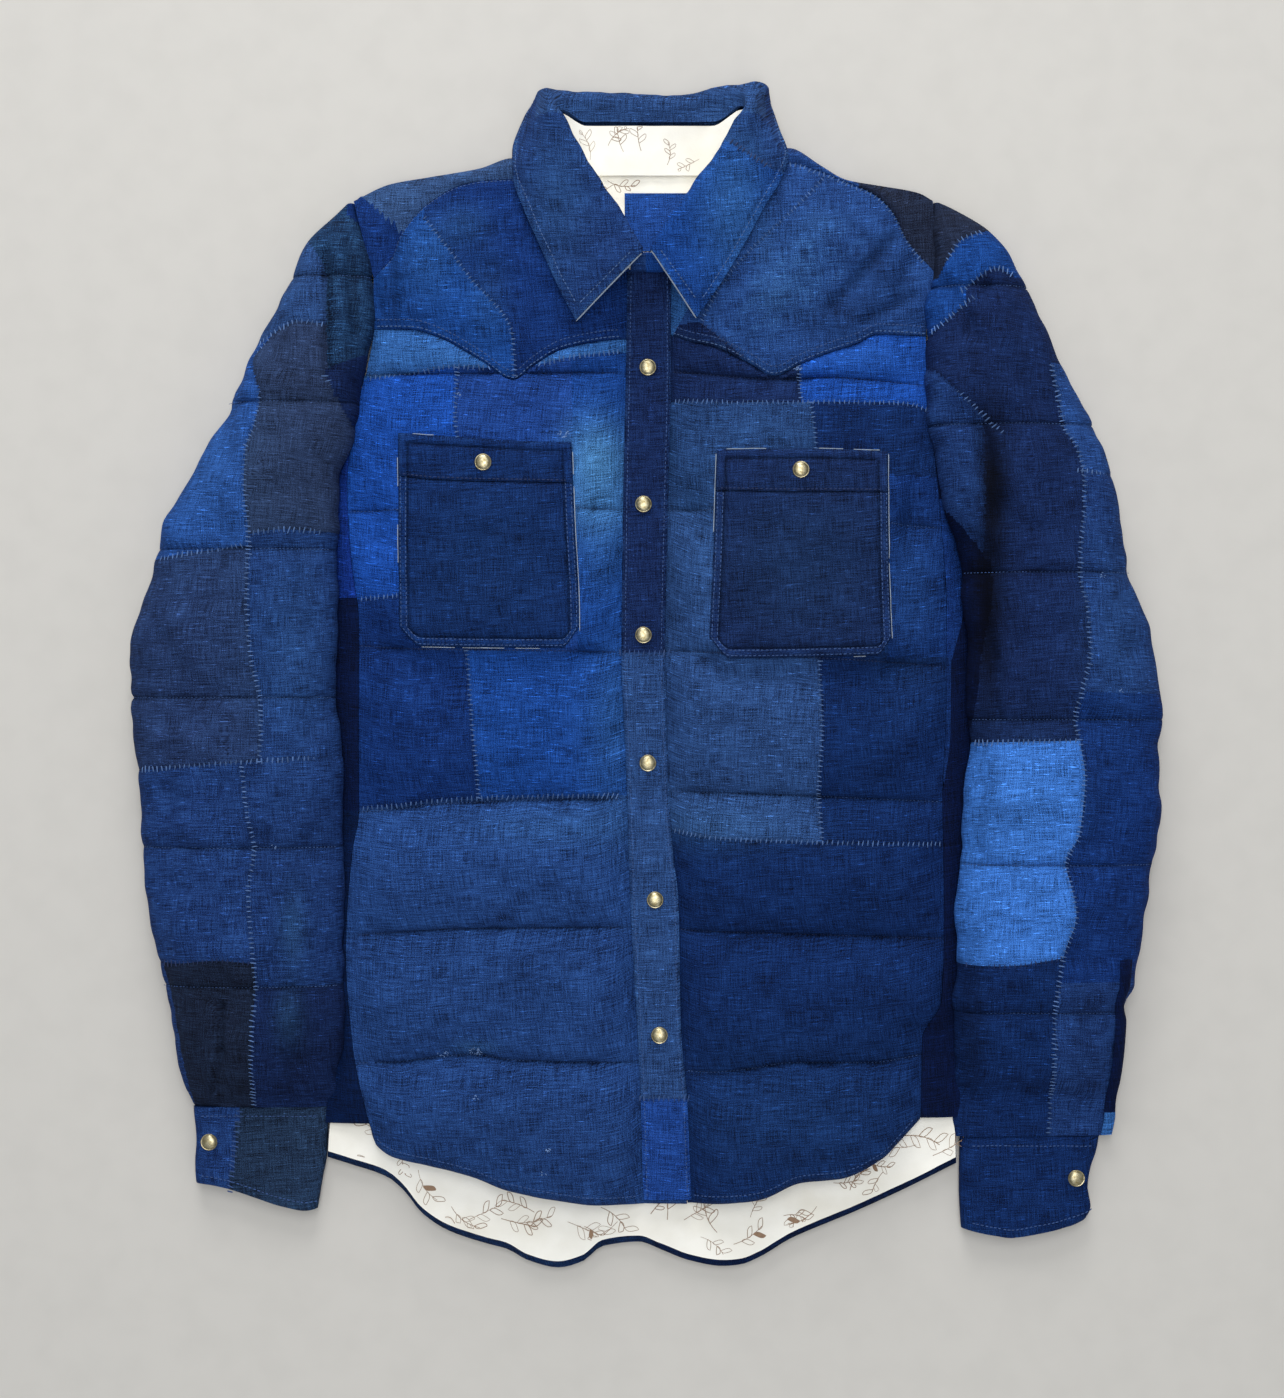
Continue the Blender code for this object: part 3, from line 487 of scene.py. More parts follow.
body_edge, front_seam, front_hem, yoke_line, yoke_top, band_edge, sleeve_outer, sleeve_lap, sleeve_fuller = (
    curves(table) for table in (BODY_EDGES, FRONT_SEAMS, FRONT_HEMS, YOKE_LINES, YOKE_TOPS, BAND_EDGES,
                                SLEEVE_OUTER, SLEEVE_LAP, SLEEVE_FULLER))
quilt_lines = {side: [curve(line) for line in QUILTING[side]] for side in SIDES}
pockets, cuffs = ({side: {key: curve(line) for key, line in table[side].items()} for side in SIDES}
                  for table in (POCKETS, CUFFS))
shoulder_line = curve(SHOULDER_LINE)
back_hem = curve(BACK_HEM)
step = STEP


# Patchwork of each piece: sewn lines in plan, all closed by zigzag except the unsewn ones; cloths laid over
# one another, as (cloth, left, right, low, high), a few of them painted shade; faded spots, and darkened
# spots that paint shade into folds, valleys and armholes and darken some patches, as (x, y, reach across,
# reach along, amount); and soft folds, as (two ends, depth, reach), which also paint shade into the dye along
# them

PATCHWORK = {
    "front_right": {
        "lines": {
            "strip": (
                (-192, 208), (-159, 211), (-130, 215), (-107, 214), (-78, 216), (-54, 221), (-17, 226)
            ),
            "chest": ((-130, 216), (-131, 181), (-129, 164)), "flank": ((-218, 54), (-168, 58)),
            "inner": ((-52, 224), (-50, 164), (-47, 20)), "waist": ((-205, 24), (-150, 21), (-16, 19)),
            "below": ((-123, 22), (-121, -5), (-119, -31), (-116, -66), (-115, -85)),
            "belly": ((-211, -89.5), (-172, -86.5), (-144, -83), (-116, -81.5), (-66, -80), (-16, -79.5)),
        },
        "unsewn": ("inner", "waist"),
        "patches": (
            ("denim", None, None, None, None), ("navy", None, "below", "belly", "waist"),
            ("royal", "below", None, "belly", "waist"), ("ocean", None, None, "waist", "strip"),
            ("navy", None, -100, "waist", "flank"), ("bright", None, "chest", "flank", "strip"),
            ("royal", "inner", None, "waist", "strip"), ("haze", None, None, "strip", None)
        ),
        "spots": (
            (-92, 190, 40, 22, -0.16), (-33, 150, 22, 26, 0.7), (-33, 118, 24, 20, 0.35),
            (-30, 90, 20, 30, 0.12), (-20, -40, 22, 60, 0.1), (-60, -100, 60, 14, 0.08),
            (-118, -252, 14, 5, 0.15), (-110, -200, 120, 50, -0.2), (-100, -330, 110, 60, -0.3),
            (-20, -20, 16, 40, 0.06)
        ),
        "folds": (
            (((-196, -30), (-170, 10)), -1.2, 4.0), (((-190, -240), (-150, -215)), -1.2, 6.0),
            (((-205, 110), (-172, 90)), -1.2, 5), (((-150, -244), (-128, -258)), -1.3, 3.0),
            (((-108, -246), (-88, -258)), -1.2, 3.5), (((-170, -250), (-158, -262)), -1.0, 3.0),
            (((-60, -250), (-40, -262)), -1.0, 4.0)
        ),
    },
    "front_left": {
        "lines": {
            "chest": ((16, 192), (60, 190), (175, 190), (206, 182)), "bright": ((104, 226), (106, 189)),
            "above": ((112, 191), (114, 178), (116, 156)), "inside": ((14, 116), (50, 115)),
            "below": ((118, 18), (120, -33), (118, -72), (120, -112)),
            "belly": ((16, -103), (22, -104), (45, -108), (119, -111), (215, -113)),
        },
        "unsewn": ("inside",),
        "patches": (
            ("deep", None, None, None, "belly"), ("slate", None, 117, "belly", "chest"),
            ("steel", None, "below", "belly", 15), ("steel", None, 60, 15, "inside"),
            ("deep", "below", None, "belly", 15), ("deep", "above", None, 15, "chest"),
            ("navy", 164, None, 15, 140), ("night", None, "bright", "chest", None),
            ("bright", "bright", None, "chest", None)
        ),
        "spots": (
            (146, 171, 34, 16, -0.16), (180, 60, 26, 60, 0.05), (40, -100, 60, 16, 0.08),
            (60, 100, 50, 60, 0.04), (100, -300, 90, 50, 0.03), (150, 222, 40, 14, 0.06)
        ),
        "folds": (
            (((18, -70), (41, -94)), -1.6, 3.0), (((34, -222), (60, -180)), -1.2, 5.0),
            (((60, 190), (92, 160)), -1.0, 4.0), (((190, -240), (150, -200)), -1.2, 5.0),
            (((196, 60), (176, 100)), -1.2, 5.0), (((150, -252), (176, -258)), -1.2, 3.5),
            (((186, 148), (176, 96)), -1.3, 5.0), (((26, -68), (36, -84)), -1.4, 2.4),
            (((70, -262), (98, -240)), -1.0, 5.0)
        ),
    },
    "yoke_right": {
        "lines": {
            "slant": ((-153, 318), (-122, 277), (-92, 237), (-90, 200)),
        },
        "patches": (("navy", None, None, None, None), ("cobalt", None, "slant", None, None)),
        # The dark spot beside the armhole is painted shade
        "spots": (
            (-150, 290, 22, 30, 0.08), (-124, 312, 16, 14, 0.08), (-108, 262, 14, 30, 0.06),
            (-176, 262, 12, 30, -0.25)
        ),
        "folds": (
            (((-176, 300), (-172, 246)), -3.6, 4.0), (((-170, 306), (-140, 262)), 1.6, 7.0),
            (((-188, 276), (-178, 244)), -2.4, 3.5)
        ),
    },
    "yoke_left": {
        "lines": {
            "slant": ((124, 348), (121, 344), (53, 273), (37, 245)),
            "foot": ((37, 245), (50, 235), (68, 221)), "corner": ((31, 259), (18, 237)),
        },
        "unsewn": ("corner",),
        "patches": (
            ("denim", None, None, None, None), ("denim", None, "slant", None, None),
            ("night", None, 64, None, "foot"), ("haze", None, "corner", None, None)
        ),
        # The two dark spots paint shade towards the armhole
        "spots": (
            (100, 288, 20, 30, 0.05), (88, 262, 14, 10, 0.06), (118, 312, 12, 10, 0.06),
            (80, 300, 8, 30, 0.05), (128, 250, 40, 16, -0.25), (160, 280, 22, 30, -0.25)
        ),
        "folds": (
            (((170, 303), (128, 257)), -5.1, 5.0), (((184, 264), (150, 246)), -3.5, 4.0),
            (((120, 330), (150, 300)), -2.2, 5.0), (((184, 290), (172, 262)), -3.0, 5.0)
        ),
    },
    "shoulder_right": {
        "lines": {
            "fold": ((-206, 338), (-197, 334), (-180, 319), (-160, 300)),
        },
        "unsewn": ("fold",),
        "patches": (("smoke", None, None, None, None), ("navy", None, None, None, "fold")),
    },
    "shoulder_left": {
        "lines": {
            "front": ((143, 352), (146, 338)),
        },
        "unsewn": ("front",),
        "patches": (("soot", None, None, None, None), ("denim", None, "front", None, None)),
    },
    # The side panels lie in shade between front and sleeve: this one's cloths are painted shade
    "side_right": {
        "patches": (
            ("umbra", None, None, None, None), ("shadow", None, None, -89, 56),
            ("dusky", None, None, 56, None)
        ),
    },
    # Painted shade over the left side panel; its flank carries the front's own navy and deep cloths over the
    # edge
    "side_left": {
        "lines": {
            "flank": (
                (203, 126), (208, 111), (216, 90), (219.5, 66), (218, 43), (213, 23), (210, 10),
                (209.5, -35), (203, -86)
            ),
        },
        "unsewn": ("flank",),
        "patches": (
            ("shadow", None, None, None, None), ("navy", None, "flank", 15, 124),
            ("deep", None, "flank", -84, 15)
        ),
    },
    "placket": {
        "lines": {
            "upper": ((-20, 19), (20, 19)), "lower": ((-10, -288), (34, -288)),
        },
        "patches": (
            ("night", None, None, None, None), ("steel", None, None, None, "upper"),
            ("ocean", None, None, None, "lower")
        ),
    },
    "pocket_right": {
        "patches": (("deep", None, None, None, None),),
        "spots": ((-107, 80, 60, 60, 0.02),),
    },
    "pocket_left": {
        "patches": (("night", None, None, None, None),),
        "spots": ((100, 80, 70, 70, -0.14), (105, 80, 60, 60, 0.04)),
    },
    "sleeve_right": {
        "lines": {
            "long": (
                (-256, 232), (-267, 217), (-262, 191), (-265, 173), (-271, 155), (-271, 129), (-269, 102),
                (-269, 51), (-267, 17), (-262, -9), (-260, -35), (-261, -57)
            ),
            "lower": (
                (-273, -57), (-269, -94), (-265, -114), (-269, -144), (-267, -174), (-265, -205),
                (-267, -233), (-271, -296)
            ),
            "head": ((-264, 229), (-259, 232), (-237, 243), (-217, 241)),
            "fold": ((-234, 303), (-221, 284), (-218, 272), (-217, 241), (-216, 204)),
            "crown": ((-207, 322), (-196, 312), (-190, 300), (-187, 280)),
            "teal": ((-217, 210), (-186, 225)), "heel": ((-218, 207), (-200, 172)),
            "elbow": ((-267, 99), (-244, 102), (-210, 100)), "outer": ((-334, 82), (-329, 83), (-270, 91)),
            "cross": ((-356, -62), (-343, -61), (-279, -56), (-210, -52)),
            "dark": ((-340, -193), (-326, -193), (-290, -190), (-266, -192)),
            "ridge": ((-331, -190), (-320, -236), (-313, -296)),
        },
        "unsewn": ("fold", "crown", "teal", "ridge"),
        "patches": (
            ("dusk", None, None, None, None), ("ink", None, "long", "cross", "outer"),
            ("azure", None, "long", "outer", None), ("coal", "long", None, "elbow", "head"),
            ("steel", None, "fold", "head", None), ("teal", "fold", None, "teal", None),
            ("night", "heel", None, 172, "teal"), ("navy", "crown", None, 270, None),
            ("dusk", None, None, None, "cross"), ("night", "lower", None, None, -209),
            ("black", "ridge", "lower", None, "dark"), ("dusk", None, "ridge", None, "dark")
        ),
        # Dark spots at the sleeve's head paint shade into its folds
        "spots": (
            (-248, -123, 34, 50, -0.14), (-216, 250, 4.5, 38, -0.45), (-200, 262, 4, 28, -0.3),
            (-206, 215, 8, 14, -0.3), (-239, -169, 8, 24, 0.12), (-243, -229, 9, 20, 0.1),
            (-235, -250, 26, 50, -0.3), (-300, 150, 40, 60, 0.06), (-240, 20, 30, 70, 0.06),
            (-235, -140, 30, 50, -0.1)
        ),
        "folds": (
            (((-219, 292), (-214, 210)), -4.4, 4.5), (((-204, 300), (-196, 236)), -3.4, 4.0),
            (((-222, 150), (-232, 60)), -1.6, 9.0), (((-228, -30), (-250, -90)), -1.4, 8.0),
            (((-345, 20), (-300, 40)), -1.2, 7.0), (((-236, -160), (-262, -200)), -1.2, 6.0),
            (((-300, 200), (-276, 150)), -1.2, 8.0), (((-300, -214), (-290, -222)), -3.2, 2.6),
            (((-290, -222), (-290, -252)), -3.4, 2.6), (((-290, -252), (-298, -282)), -3.2, 2.8),
            (((-262, -215), (-236, -262)), -1.8, 5.0), (((-232, -225), (-246, -286)), -1.6, 5.0),
            (((-330, 30), (-300, -8)), -1.4, 6.0), (((-238, 96), (-226, 40)), -1.8, 6.0),
            (((-250, 240), (-240, 190)), -1.3, 6.0)
        ),
    },
    "sleeve_left": {
        "lines": {
            "long": (
                (275, 215), (280, 190), (284, 171), (292, 157), (296, 139), (296, 117), (293, 90),
                (293, 72), (298, 45), (299, 18), (295, -1), (290, -28), (293, -43), (295, -65), (292, -105),
                (284, -123), (290, -159), (282, -188), (278, -222), (277.5, -251), (279, -285), (278, -317)
            ),
            "crown": ((200, 276), (205, 286), (214, 300), (232, 307)),
            "blue": ((213, 264), (239, 280), (252, 276)), "cheek": ((193, 236), (224, 262)),
            "strip": ((190, 216), (213, 194), (242, 166)), "inner": ((229, 200), (229, 75)),
            # The first two of the lines below are unsewn and only bound the painted shadow in the sleeve's
            # inner valley
            "valley": ((231, 100), (234.5, 66), (228, 15), (222, -35), (218, -50)),
            "tuck": ((196, 126), (208, 112), (231, 82), (236, 70)), "patch": ((290, 142), (322, 139)),
            "outer": ((293, -8), (356, -10)), "light": ((212, -43), (293, -41)),
            "foot": ((212, -194), (243, -194), (284, -188)),
        },
        "unsewn": ("inner", "valley", "tuck", "outer"),
        "patches": (
            ("night", None, None, None, None), ("dusk", None, "inner", 73, "strip"),
            ("cobalt", None, 222, "cheek", None), ("night", 217, "long", "strip", "blue"),
            ("cobalt", None, None, "blue", None), ("soot", None, None, "crown", None),
            # Painted shadow in the sleeve's inner valley and under its armhole seam
            ("shadow", None, "valley", "light", 82), ("shadow", None, "tuck", 82, 126),
            ("denim", "long", None, "patch", 215), ("dusk", "long", None, "outer", "patch"),
            ("navy", "long", None, None, "outer"), ("sky", None, "long", "foot", "light"),
            ("deep", None, "long", None, "foot"), ("dusk", "long", None, None, -205)
        ),
        # The two darkest spots paint shadow along the sleeve's inner valley
        "spots": (
            (250, -80, 40, 40, 0.05), (320, 30, 24, 60, 0.05), (234, 130, 11, 60, -0.86),
            (232, 40, 10, 70, -0.8), (213, 140, 12, 60, -0.2), (222, -240, 10, 60, -0.4),
            (300, -240, 10, 50, -0.2)
        ),
        "folds": (
            (((204, 272), (222, 232)), -3.2, 5.0), (((232, 268), (216, 236)), -2.4, 4.5),
            (((222, 190), (240, 110)), -2.6, 7.0), (((230, 80), (252, 20)), -2.0, 8.0),
            (((228, -120), (262, -150)), -1.0, 6.0), (((236, -210), (262, -250)), -1.4, 7.0),
            (((262, 220), (288, 150)), -1.2, 8.0), (((214, 306), (222, 286)), -1.6, 4.0),
            (((226, 168), (232, 110)), -3.0, 5.0), (((226, 70), (236, -20)), -2.4, 6.0),
            (((300, 60), (330, 20)), -1.4, 6.0), (((318, -150), (288, -190)), -1.4, 6.0),
            (((232, -60), (222, -120)), -1.6, 5.0), (((250, 250), (262, 190)), -1.4, 6.0)
        ),
    },
    "cuff_right": {
        "lines": {
            "joint": ((-281, -296), (-284, -318), (-288, -356)),
        },
        "patches": (("grey", None, None, None, None), ("dusk", None, "joint", None, None)),
    },
    "cuff_left": {
        "patches": (("deep", None, None, None, None),),
    },
    "collar": {
        "lines": {
            "join": ((56, 363), (86, 347)),
        },
        "unsewn": ("join",),
        "patches": (
            ("dusk", None, None, None, None), ("royal", 0, None, None, "join"),
            ("steel", -76, 82, 384, None)
        ),
        "spots": ((0, 405, 60, 14, -0.14), (-60, 330, 24, 50, 0.08), (60, 320, 24, 50, 0.2)),
    },
    "back": {
        "lines": {
            "one": ((-70, 210), (-74, -80)), "two": ((80, 360), (84, 20)), "three": ((10, -80), (6, -400)),
            "upper": ((-230, 118), (230, 112)), "lower": ((-230, -84), (230, -80)),
        },
        "patches": (
            ("denim", None, None, None, None), ("navy", "three", None, None, "lower"),
            ("dusk", None, "one", "lower", "upper"), ("ocean", "one", "two", "lower", "upper"),
            ("night", "two", None, "lower", "upper"), ("navy", None, "two", "upper", None),
            ("steel", "two", None, "upper", None)
        ),
    },
    "neck_patch": {
        "patches": (("plain", None, None, None, None),),
    },
    "vent_left": {
        "patches": (("shadow", None, None, None, None), ("haze", None, None, None, -298)),
    },
}


def across(points):
    """Whether a sewn line runs more across than down."""
    xs, ys = zip(*points)
    return max(xs) - min(xs) > max(ys) - min(ys)


def course(points):
    """Where a sewn line runs: y over x if it runs across, else x over y."""
    return curve(points if across(points) else [(y, x) for x, y in points])


for work in PATCHWORK.values():
    for key in ("unsewn", "spots", "folds"):
        work.setdefault(key, ())
    lines = work.setdefault("lines", {})
    work["zigzag"] = [key for key in lines if key not in work["unsewn"]]
    work["course"] = {key: course(points) for key, points in lines.items()}


def laid(x, y, work):
    """Number of the cloth at each point."""
    def limit(value, at, nothing):
        if value is None:
            return nothing
        return work["course"][value](at) if isinstance(value, str) else value

    found = np.zeros(x.shape, int)
    for k, (_, left, right, low, high) in enumerate(work["patches"]):
        inside = ((x >= limit(left, y, -FAR)) & (x < limit(right, y, FAR))
                  & (y >= limit(low, x, -FAR)) & (y < limit(high, x, FAR)))
        found[inside] = k
    return found


def seam_distance(x, y, work):
    """Distance of each point to the nearest seam closed by zigzag."""
    nearest = np.full(np.shape(x), APART)
    for key in work["zigzag"]:
        points, line = work["lines"][key], work["course"][key]
        along, off = (x, abs(y - line(x))) if across(points) else (y, abs(x - line(y)))
        ends = sorted(points[k][0 if across(points) else 1] for k in (0, -1))
        nearest = np.minimum(nearest, np.where((along > ends[0]) & (along < ends[1]), off, APART))
    return nearest


def seam_groove(x, y, work):
    """Depth of the fold that a patch seam draws into the cloth."""
    return SEAM_DEPTH * hump(seam_distance(x, y, work), 1.5)


def folded(x, y, name):
    """Soft folds of a piece, as a distance outward."""
    total = 0 * x
    for line, depth, reach in PATCHWORK[name]["folds"]:
        total = total + depth * hump(to_line(x, y, line), reach)
    return total


# Meshes

def numbers(items, key, size, kind=np.float32):
    """One property of every vertex, corner or face, as an array."""
    values = np.empty(len(items) * size, kind)
    items.foreach_get(key, values)
    return values.reshape(-1, size) if size > 1 else values


def add_values(mesh, name, kind, values):
    """Keep one value for each corner of a mesh."""
    layer = mesh.attributes.new(name, kind, "CORNER")
    key = {"FLOAT_COLOR": "color", "FLOAT_VECTOR": "vector", "FLOAT": "value"}[kind]
    layer.data.foreach_set(key, np.ascontiguousarray(values, np.float32).ravel())


def add_dye(mesh, dye):
    """Keep a linear colour for each corner of a mesh."""
    add_values(mesh, "dye", "FLOAT_COLOR", np.concatenate([dye, np.ones((len(dye), 1))], 1))


def dress(mesh, work, unroll=None, worn=None, shade=None):
    """Give each face the dye of its patch, and each corner its place in the weave and its wear.

    unroll(x, y, z) tells a corner's place in the weave, worn(x, y, z) adds wear, shade(x, y) paints shade on
    the dye.
    """
    centre = numbers(mesh.polygons, "center", 3) / MM
    vertex = numbers(mesh.loops, "vertex_index", 1, np.int32)
    face = np.repeat(np.arange(len(mesh.polygons)), numbers(mesh.polygons, "loop_total", 1, np.int32))
    x, y, z = (numbers(mesh.vertices, "co", 3)[vertex] / MM).T
    cloth = laid(centre[:, 0], centre[:, 1], work)[face]
    kinds = [CLOTHS[patch[0]] for patch in work["patches"]]
    dye = np.array([linear(kind) for kind in kinds])[cloth]
    # Painted shade: the dye darkens in the grooves of zigzag seams, along folds and at darkened spots; less
    # wear shows there
    dark = 1 - SEAM_SHADE * hump(seam_distance(x, y, work), SEAM_REACH)
    for line, depth, reach in work["folds"]:
        dark = dark * (1 + FOLD_SHADE * min(depth, 0) * hump(to_line(x, y, line), 0.8 * reach))
    for middle_x, middle_y, reach_x, reach_y, amount in work["spots"]:
        share = np.exp(-((x - middle_x) / reach_x) ** 2 - ((y - middle_y) / reach_y) ** 2)
        if amount > 0:
            dye = dye + (np.array(WASHED) - dye) * (share * amount)[:, None]
        else:
            dark = dark * (1 + share * amount)
    dye = dye * dark[:, None]
    if shade is not None:
        dye = dye * shade(x, y)[:, None]
    wear = np.array([kind[3] for kind in kinds])[cloth]
    if worn is not None:
        wear = wear + worn(x, y, z)
    wear = wear * np.clip(dark, 0, 1)
    u, v = unroll(x, y, z) if unroll else (x + UNROLL[0] * z, y + UNROLL[1] * z)
    turn = np.radians(np.array([(k * 37) % 7 - 3 for k in range(len(kinds))]))[cloth]
    grain = points_at(u * np.cos(turn) - v * np.sin(turn), u * np.sin(turn) + v * np.cos(turn),
                      cloth * PATCH_APART)
    add_dye(mesh, dye)
    add_values(mesh, "grain", "FLOAT_VECTOR", grain)
    add_values(mesh, "worn", "FLOAT", np.clip(wear, 0, 1))


def new_mesh(name, points, faces):
    """Mesh from points in millimetres, none of them under the floor."""
    mesh = bpy.data.meshes.new(name)
    points = np.asarray(points, float).reshape(-1, 3) * MM
    points[:, 2] = np.maximum(points[:, 2], 0)
    mesh.from_pydata(points.tolist(), [], faces)
    return mesh


def put(name, mesh, material, dressed=True, sharp=55):
    """Show a finished mesh as a piece; a dressed one stands for the solid of its name."""
    mesh.materials.append(material)
    mesh.shade_smooth()
    mesh.set_sharp_from_angle(angle=math.radians(sharp))
    piece = bpy.data.objects.new(name + "_dressed" if dressed else name, mesh)
    bpy.context.scene.collection.objects.link(piece)
    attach(piece, "root")
    if dressed:
        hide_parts(name)
    return piece


def tidy_normals(mesh, work_on=None):
    """Point all normals of a closed mesh outward, after work_on(bm) has changed it."""
    bm = bmesh.new()
    bm.from_mesh(mesh)
    if work_on:
        work_on(bm)
    bmesh.ops.recalc_face_normals(bm, faces=bm.faces)
    bm.to_mesh(mesh)
    bm.free()


def close_below(mesh, under):
    """Turn an open outer face into a closed pad with a flat underside at that height."""
    def close(bm):
        rim = [edge for edge in bm.edges if edge.is_boundary]
        for made in bmesh.ops.extrude_edge_only(bm, edges=rim)["geom"]:
            if isinstance(made, bmesh.types.BMVert):
                made.co.z = under * MM
        bmesh.ops.holes_fill(bm, edges=[edge for edge in bm.edges if edge.is_boundary], sides=0)

    tidy_normals(mesh, close)


def grid_faces(shape, on=None, closed=False):
    """Faces of a grid of points; a cell that a sewn line crosses is split along it."""
    rows, columns = shape[:2]
    index = np.arange(rows * columns).reshape(rows, columns)
    if closed:
        index = np.concatenate([index, index[:, :1]], 1)
        on = None if on is None else np.concatenate([on, on[:, :1]], 1)
    a, b, c, d = index[:-1, :-1], index[:-1, 1:], index[1:, 1:], index[1:, :-1]
    if on is None:
        return np.stack([a, b, c, d], -1).reshape(-1, 4).tolist()
    on_a, on_b, on_c, on_d = on[:-1, :-1], on[:-1, 1:], on[1:, 1:], on[1:, :-1]
    rising = (on_a & on_c & ~on_b & ~on_d).any(-1)
    falling = (on_b & on_d & ~on_a & ~on_c).any(-1) & ~rising
    faces = []
    for corners, chosen in (((a, b, c, d), ~(rising | falling)), ((a, b, c), rising), ((a, c, d), rising),
                            ((a, b, d), falling), ((b, c, d), falling)):
        faces += np.stack(corners, -1)[chosen].tolist()
    return faces


def turned_over(faces, start):
    """The same faces from below, on points that begin at a later number."""
    return [[start + v for v in reversed(face)] for face in faces]


def around(ring):
    """Neighbours in a closed ring of point numbers."""
    return zip(ring, ring[1:] + ring[:1])


def two_faces(name, upper, lower, on=None):
    """Closed sheet between an upper and a lower grid of points."""
    rows, columns = upper.shape[:2]
    count = rows * columns
    index = np.arange(count).reshape(rows, columns)
    rim = np.concatenate([index[0], index[1:, -1], index[-1, -2::-1], index[-2:0:-1, 0]]).tolist()
    faces = grid_faces(upper.shape, on) + turned_over(grid_faces(upper.shape), count)
    faces += [[b, a, count + a, count + b] for a, b in around(rim)]
    mesh = new_mesh(name, np.concatenate([upper.reshape(-1, 3), lower.reshape(-1, 3)]), faces)
    tidy_normals(mesh)
    return mesh


def snap(x, y, lines, shift=None, open_to=None):
    """Move the nearest grid points onto each line, and tell which points lie on which line.

    shift(rows, columns, x) moves points across where x isn't free, as on a sleeve.
    """
    on = np.zeros(x.shape + (max(1, len(lines)),), bool)
    free = np.ones(x.shape, bool) if open_to is None else open_to
    for k, points in enumerate(lines):
        line, flat = course(points), across(points)
        if flat:
            off = np.where(free, abs(y - line(x)), FAR)
            rows, columns = off.argmin(0), np.arange(x.shape[1])
        else:
            off = np.where(free, abs(x - line(y)), FAR)
            rows, columns = np.arange(x.shape[0]), off.argmin(1)
        place = (x if flat else y)[rows, columns]
        ends = [points[k][0 if flat else 1] for k in (0, -1)]
        keep = (off[rows, columns] < SNAP_REACH * step) & (place >= min(ends)) & (place <= max(ends))
        rows, columns, target = rows[keep], columns[keep], line(place[keep])
        if flat:
            y[rows, columns] = target
        elif shift:
            shift(rows, columns, target)
        else:
            x[rows, columns] = target
        on[rows, columns, k] = True
    return on


def tighten(y, x, on, lines, first):
    """Draw the rows beside each quilting line close to it, so that its fold is narrow."""
    taken = on.any(-1)
    for k in range(first, len(lines)):
        rows, columns = np.nonzero(on[..., k])
        for away, gap in enumerate(FOLD_ROWS, 1):
            for way in (1, -1):
                near = rows + way * away
                inside = (near >= 1) & (near < len(y) - 1)
                beside, column = near[inside], columns[inside]
                free = ~taken[beside, column]
                beside, column = beside[free], column[free]
                y[beside, column] = course(lines[k])(x[beside, column]) + way * gap


def plan_grid(sides, lines, pitch=None):
    """Plan points between two side lines and two cross lines, about a step apart."""
    pitch = pitch or step
    (left, right), (low, high) = sides, lines
    ys = np.linspace(-420, 420, 200)
    xs = np.linspace(-230, 230, 200)
    middle = 0.5 * np.mean(left(ys) + right(ys))
    tall = float(np.mean(high(middle) - low(middle)))
    span = np.linspace(float(np.mean(low(middle))), float(np.mean(high(middle))), 20)
    wide = float(np.max(right(span) - left(span)))
    inside = xs[(xs > np.min(left(span))) & (xs < np.max(right(span)))]
    if len(inside):
        tall = float(np.max(high(inside) - low(inside)))
    u = np.linspace(0, 1, max(3, round(wide / pitch)) + 1)[None, :]
    v = np.linspace(0, 1, max(3, round(tall / pitch)) + 1)[:, None]
    x, y = middle + 0 * u + 0 * v, 0 * u + 0 * v
    for _ in range(8):
        y = low(x) + (high(x) - low(x)) * v
        x = left(y) + (right(y) - left(y)) * u
    return x + 0 * v, y + 0 * u


def pad(name, sides, lines, top, under, extra=(), worn=None, shade=None):
    """Padded panel: its outer face follows top(x, y), and its underside is flat."""
    work = PATCHWORK[name]
    x, y = plan_grid(sides, lines)
    sewn = list(work["lines"].values()) + list(extra)
    on = snap(x, y, sewn)
    tighten(y, x, on, sewn, len(work["lines"]))
    mesh = new_mesh(name, points_at(x, y, top(x, y)), grid_faces(x.shape, on))
    close_below(mesh, under)
    dress(mesh, work, worn=worn, shade=shade)
    return put(name, mesh, CLOTH)


# Surfaces of the body

def inside_band(x, y):
    """How far inside the front band's edges a point lies."""
    return np.minimum(x - band_edge["right"](y), band_edge["left"](y) - x)


def inside_pocket(x, y, pocket):
    """How far inside a pocket's outline a point lies."""
    return np.minimum(np.minimum(x - pocket["low_x"](y), pocket["high_x"](y) - x),
                      np.minimum(y - pocket["bottom"](x), pocket["top"](x) - y))


def from_seam(side, x, y):
    """How far inward from a front's side seam a point lies."""
    return TOWARD[side] * (x - front_seam[side](y))


def puckers(along, off, name):
    """Small wrinkles that a line of stitches draws into the cloth beside it."""
    seed = PUCKER_SEEDS[name]
    fine = ripples(along + 0.3 * off, 0 * off, 7, seed) * np.exp(-off / 7)
    broad = ripples(along - 0.2 * off, 0 * off, 19, seed + 1) * np.exp(-off / 20)
    return (1 - np.exp(-off / 2.0)) * (0.42 * fine + 0.75 * broad)


def puffed(rows, wall, seam_share, side, x, y):
    """Swelling of a front: full in its rows, low beside its side seam and under the front band."""
    seam = seam_share + (1 - seam_share) * rounded(from_seam(side, x, y), SIDE_ROUNDING)
    swell = rows * seam * rounded(-inside_band(x, y), SIDE_ROUNDING * 0.7)
    return swell, FRONT_UNDER + SEAM_WALL + (wall - SEAM_WALL) * swell


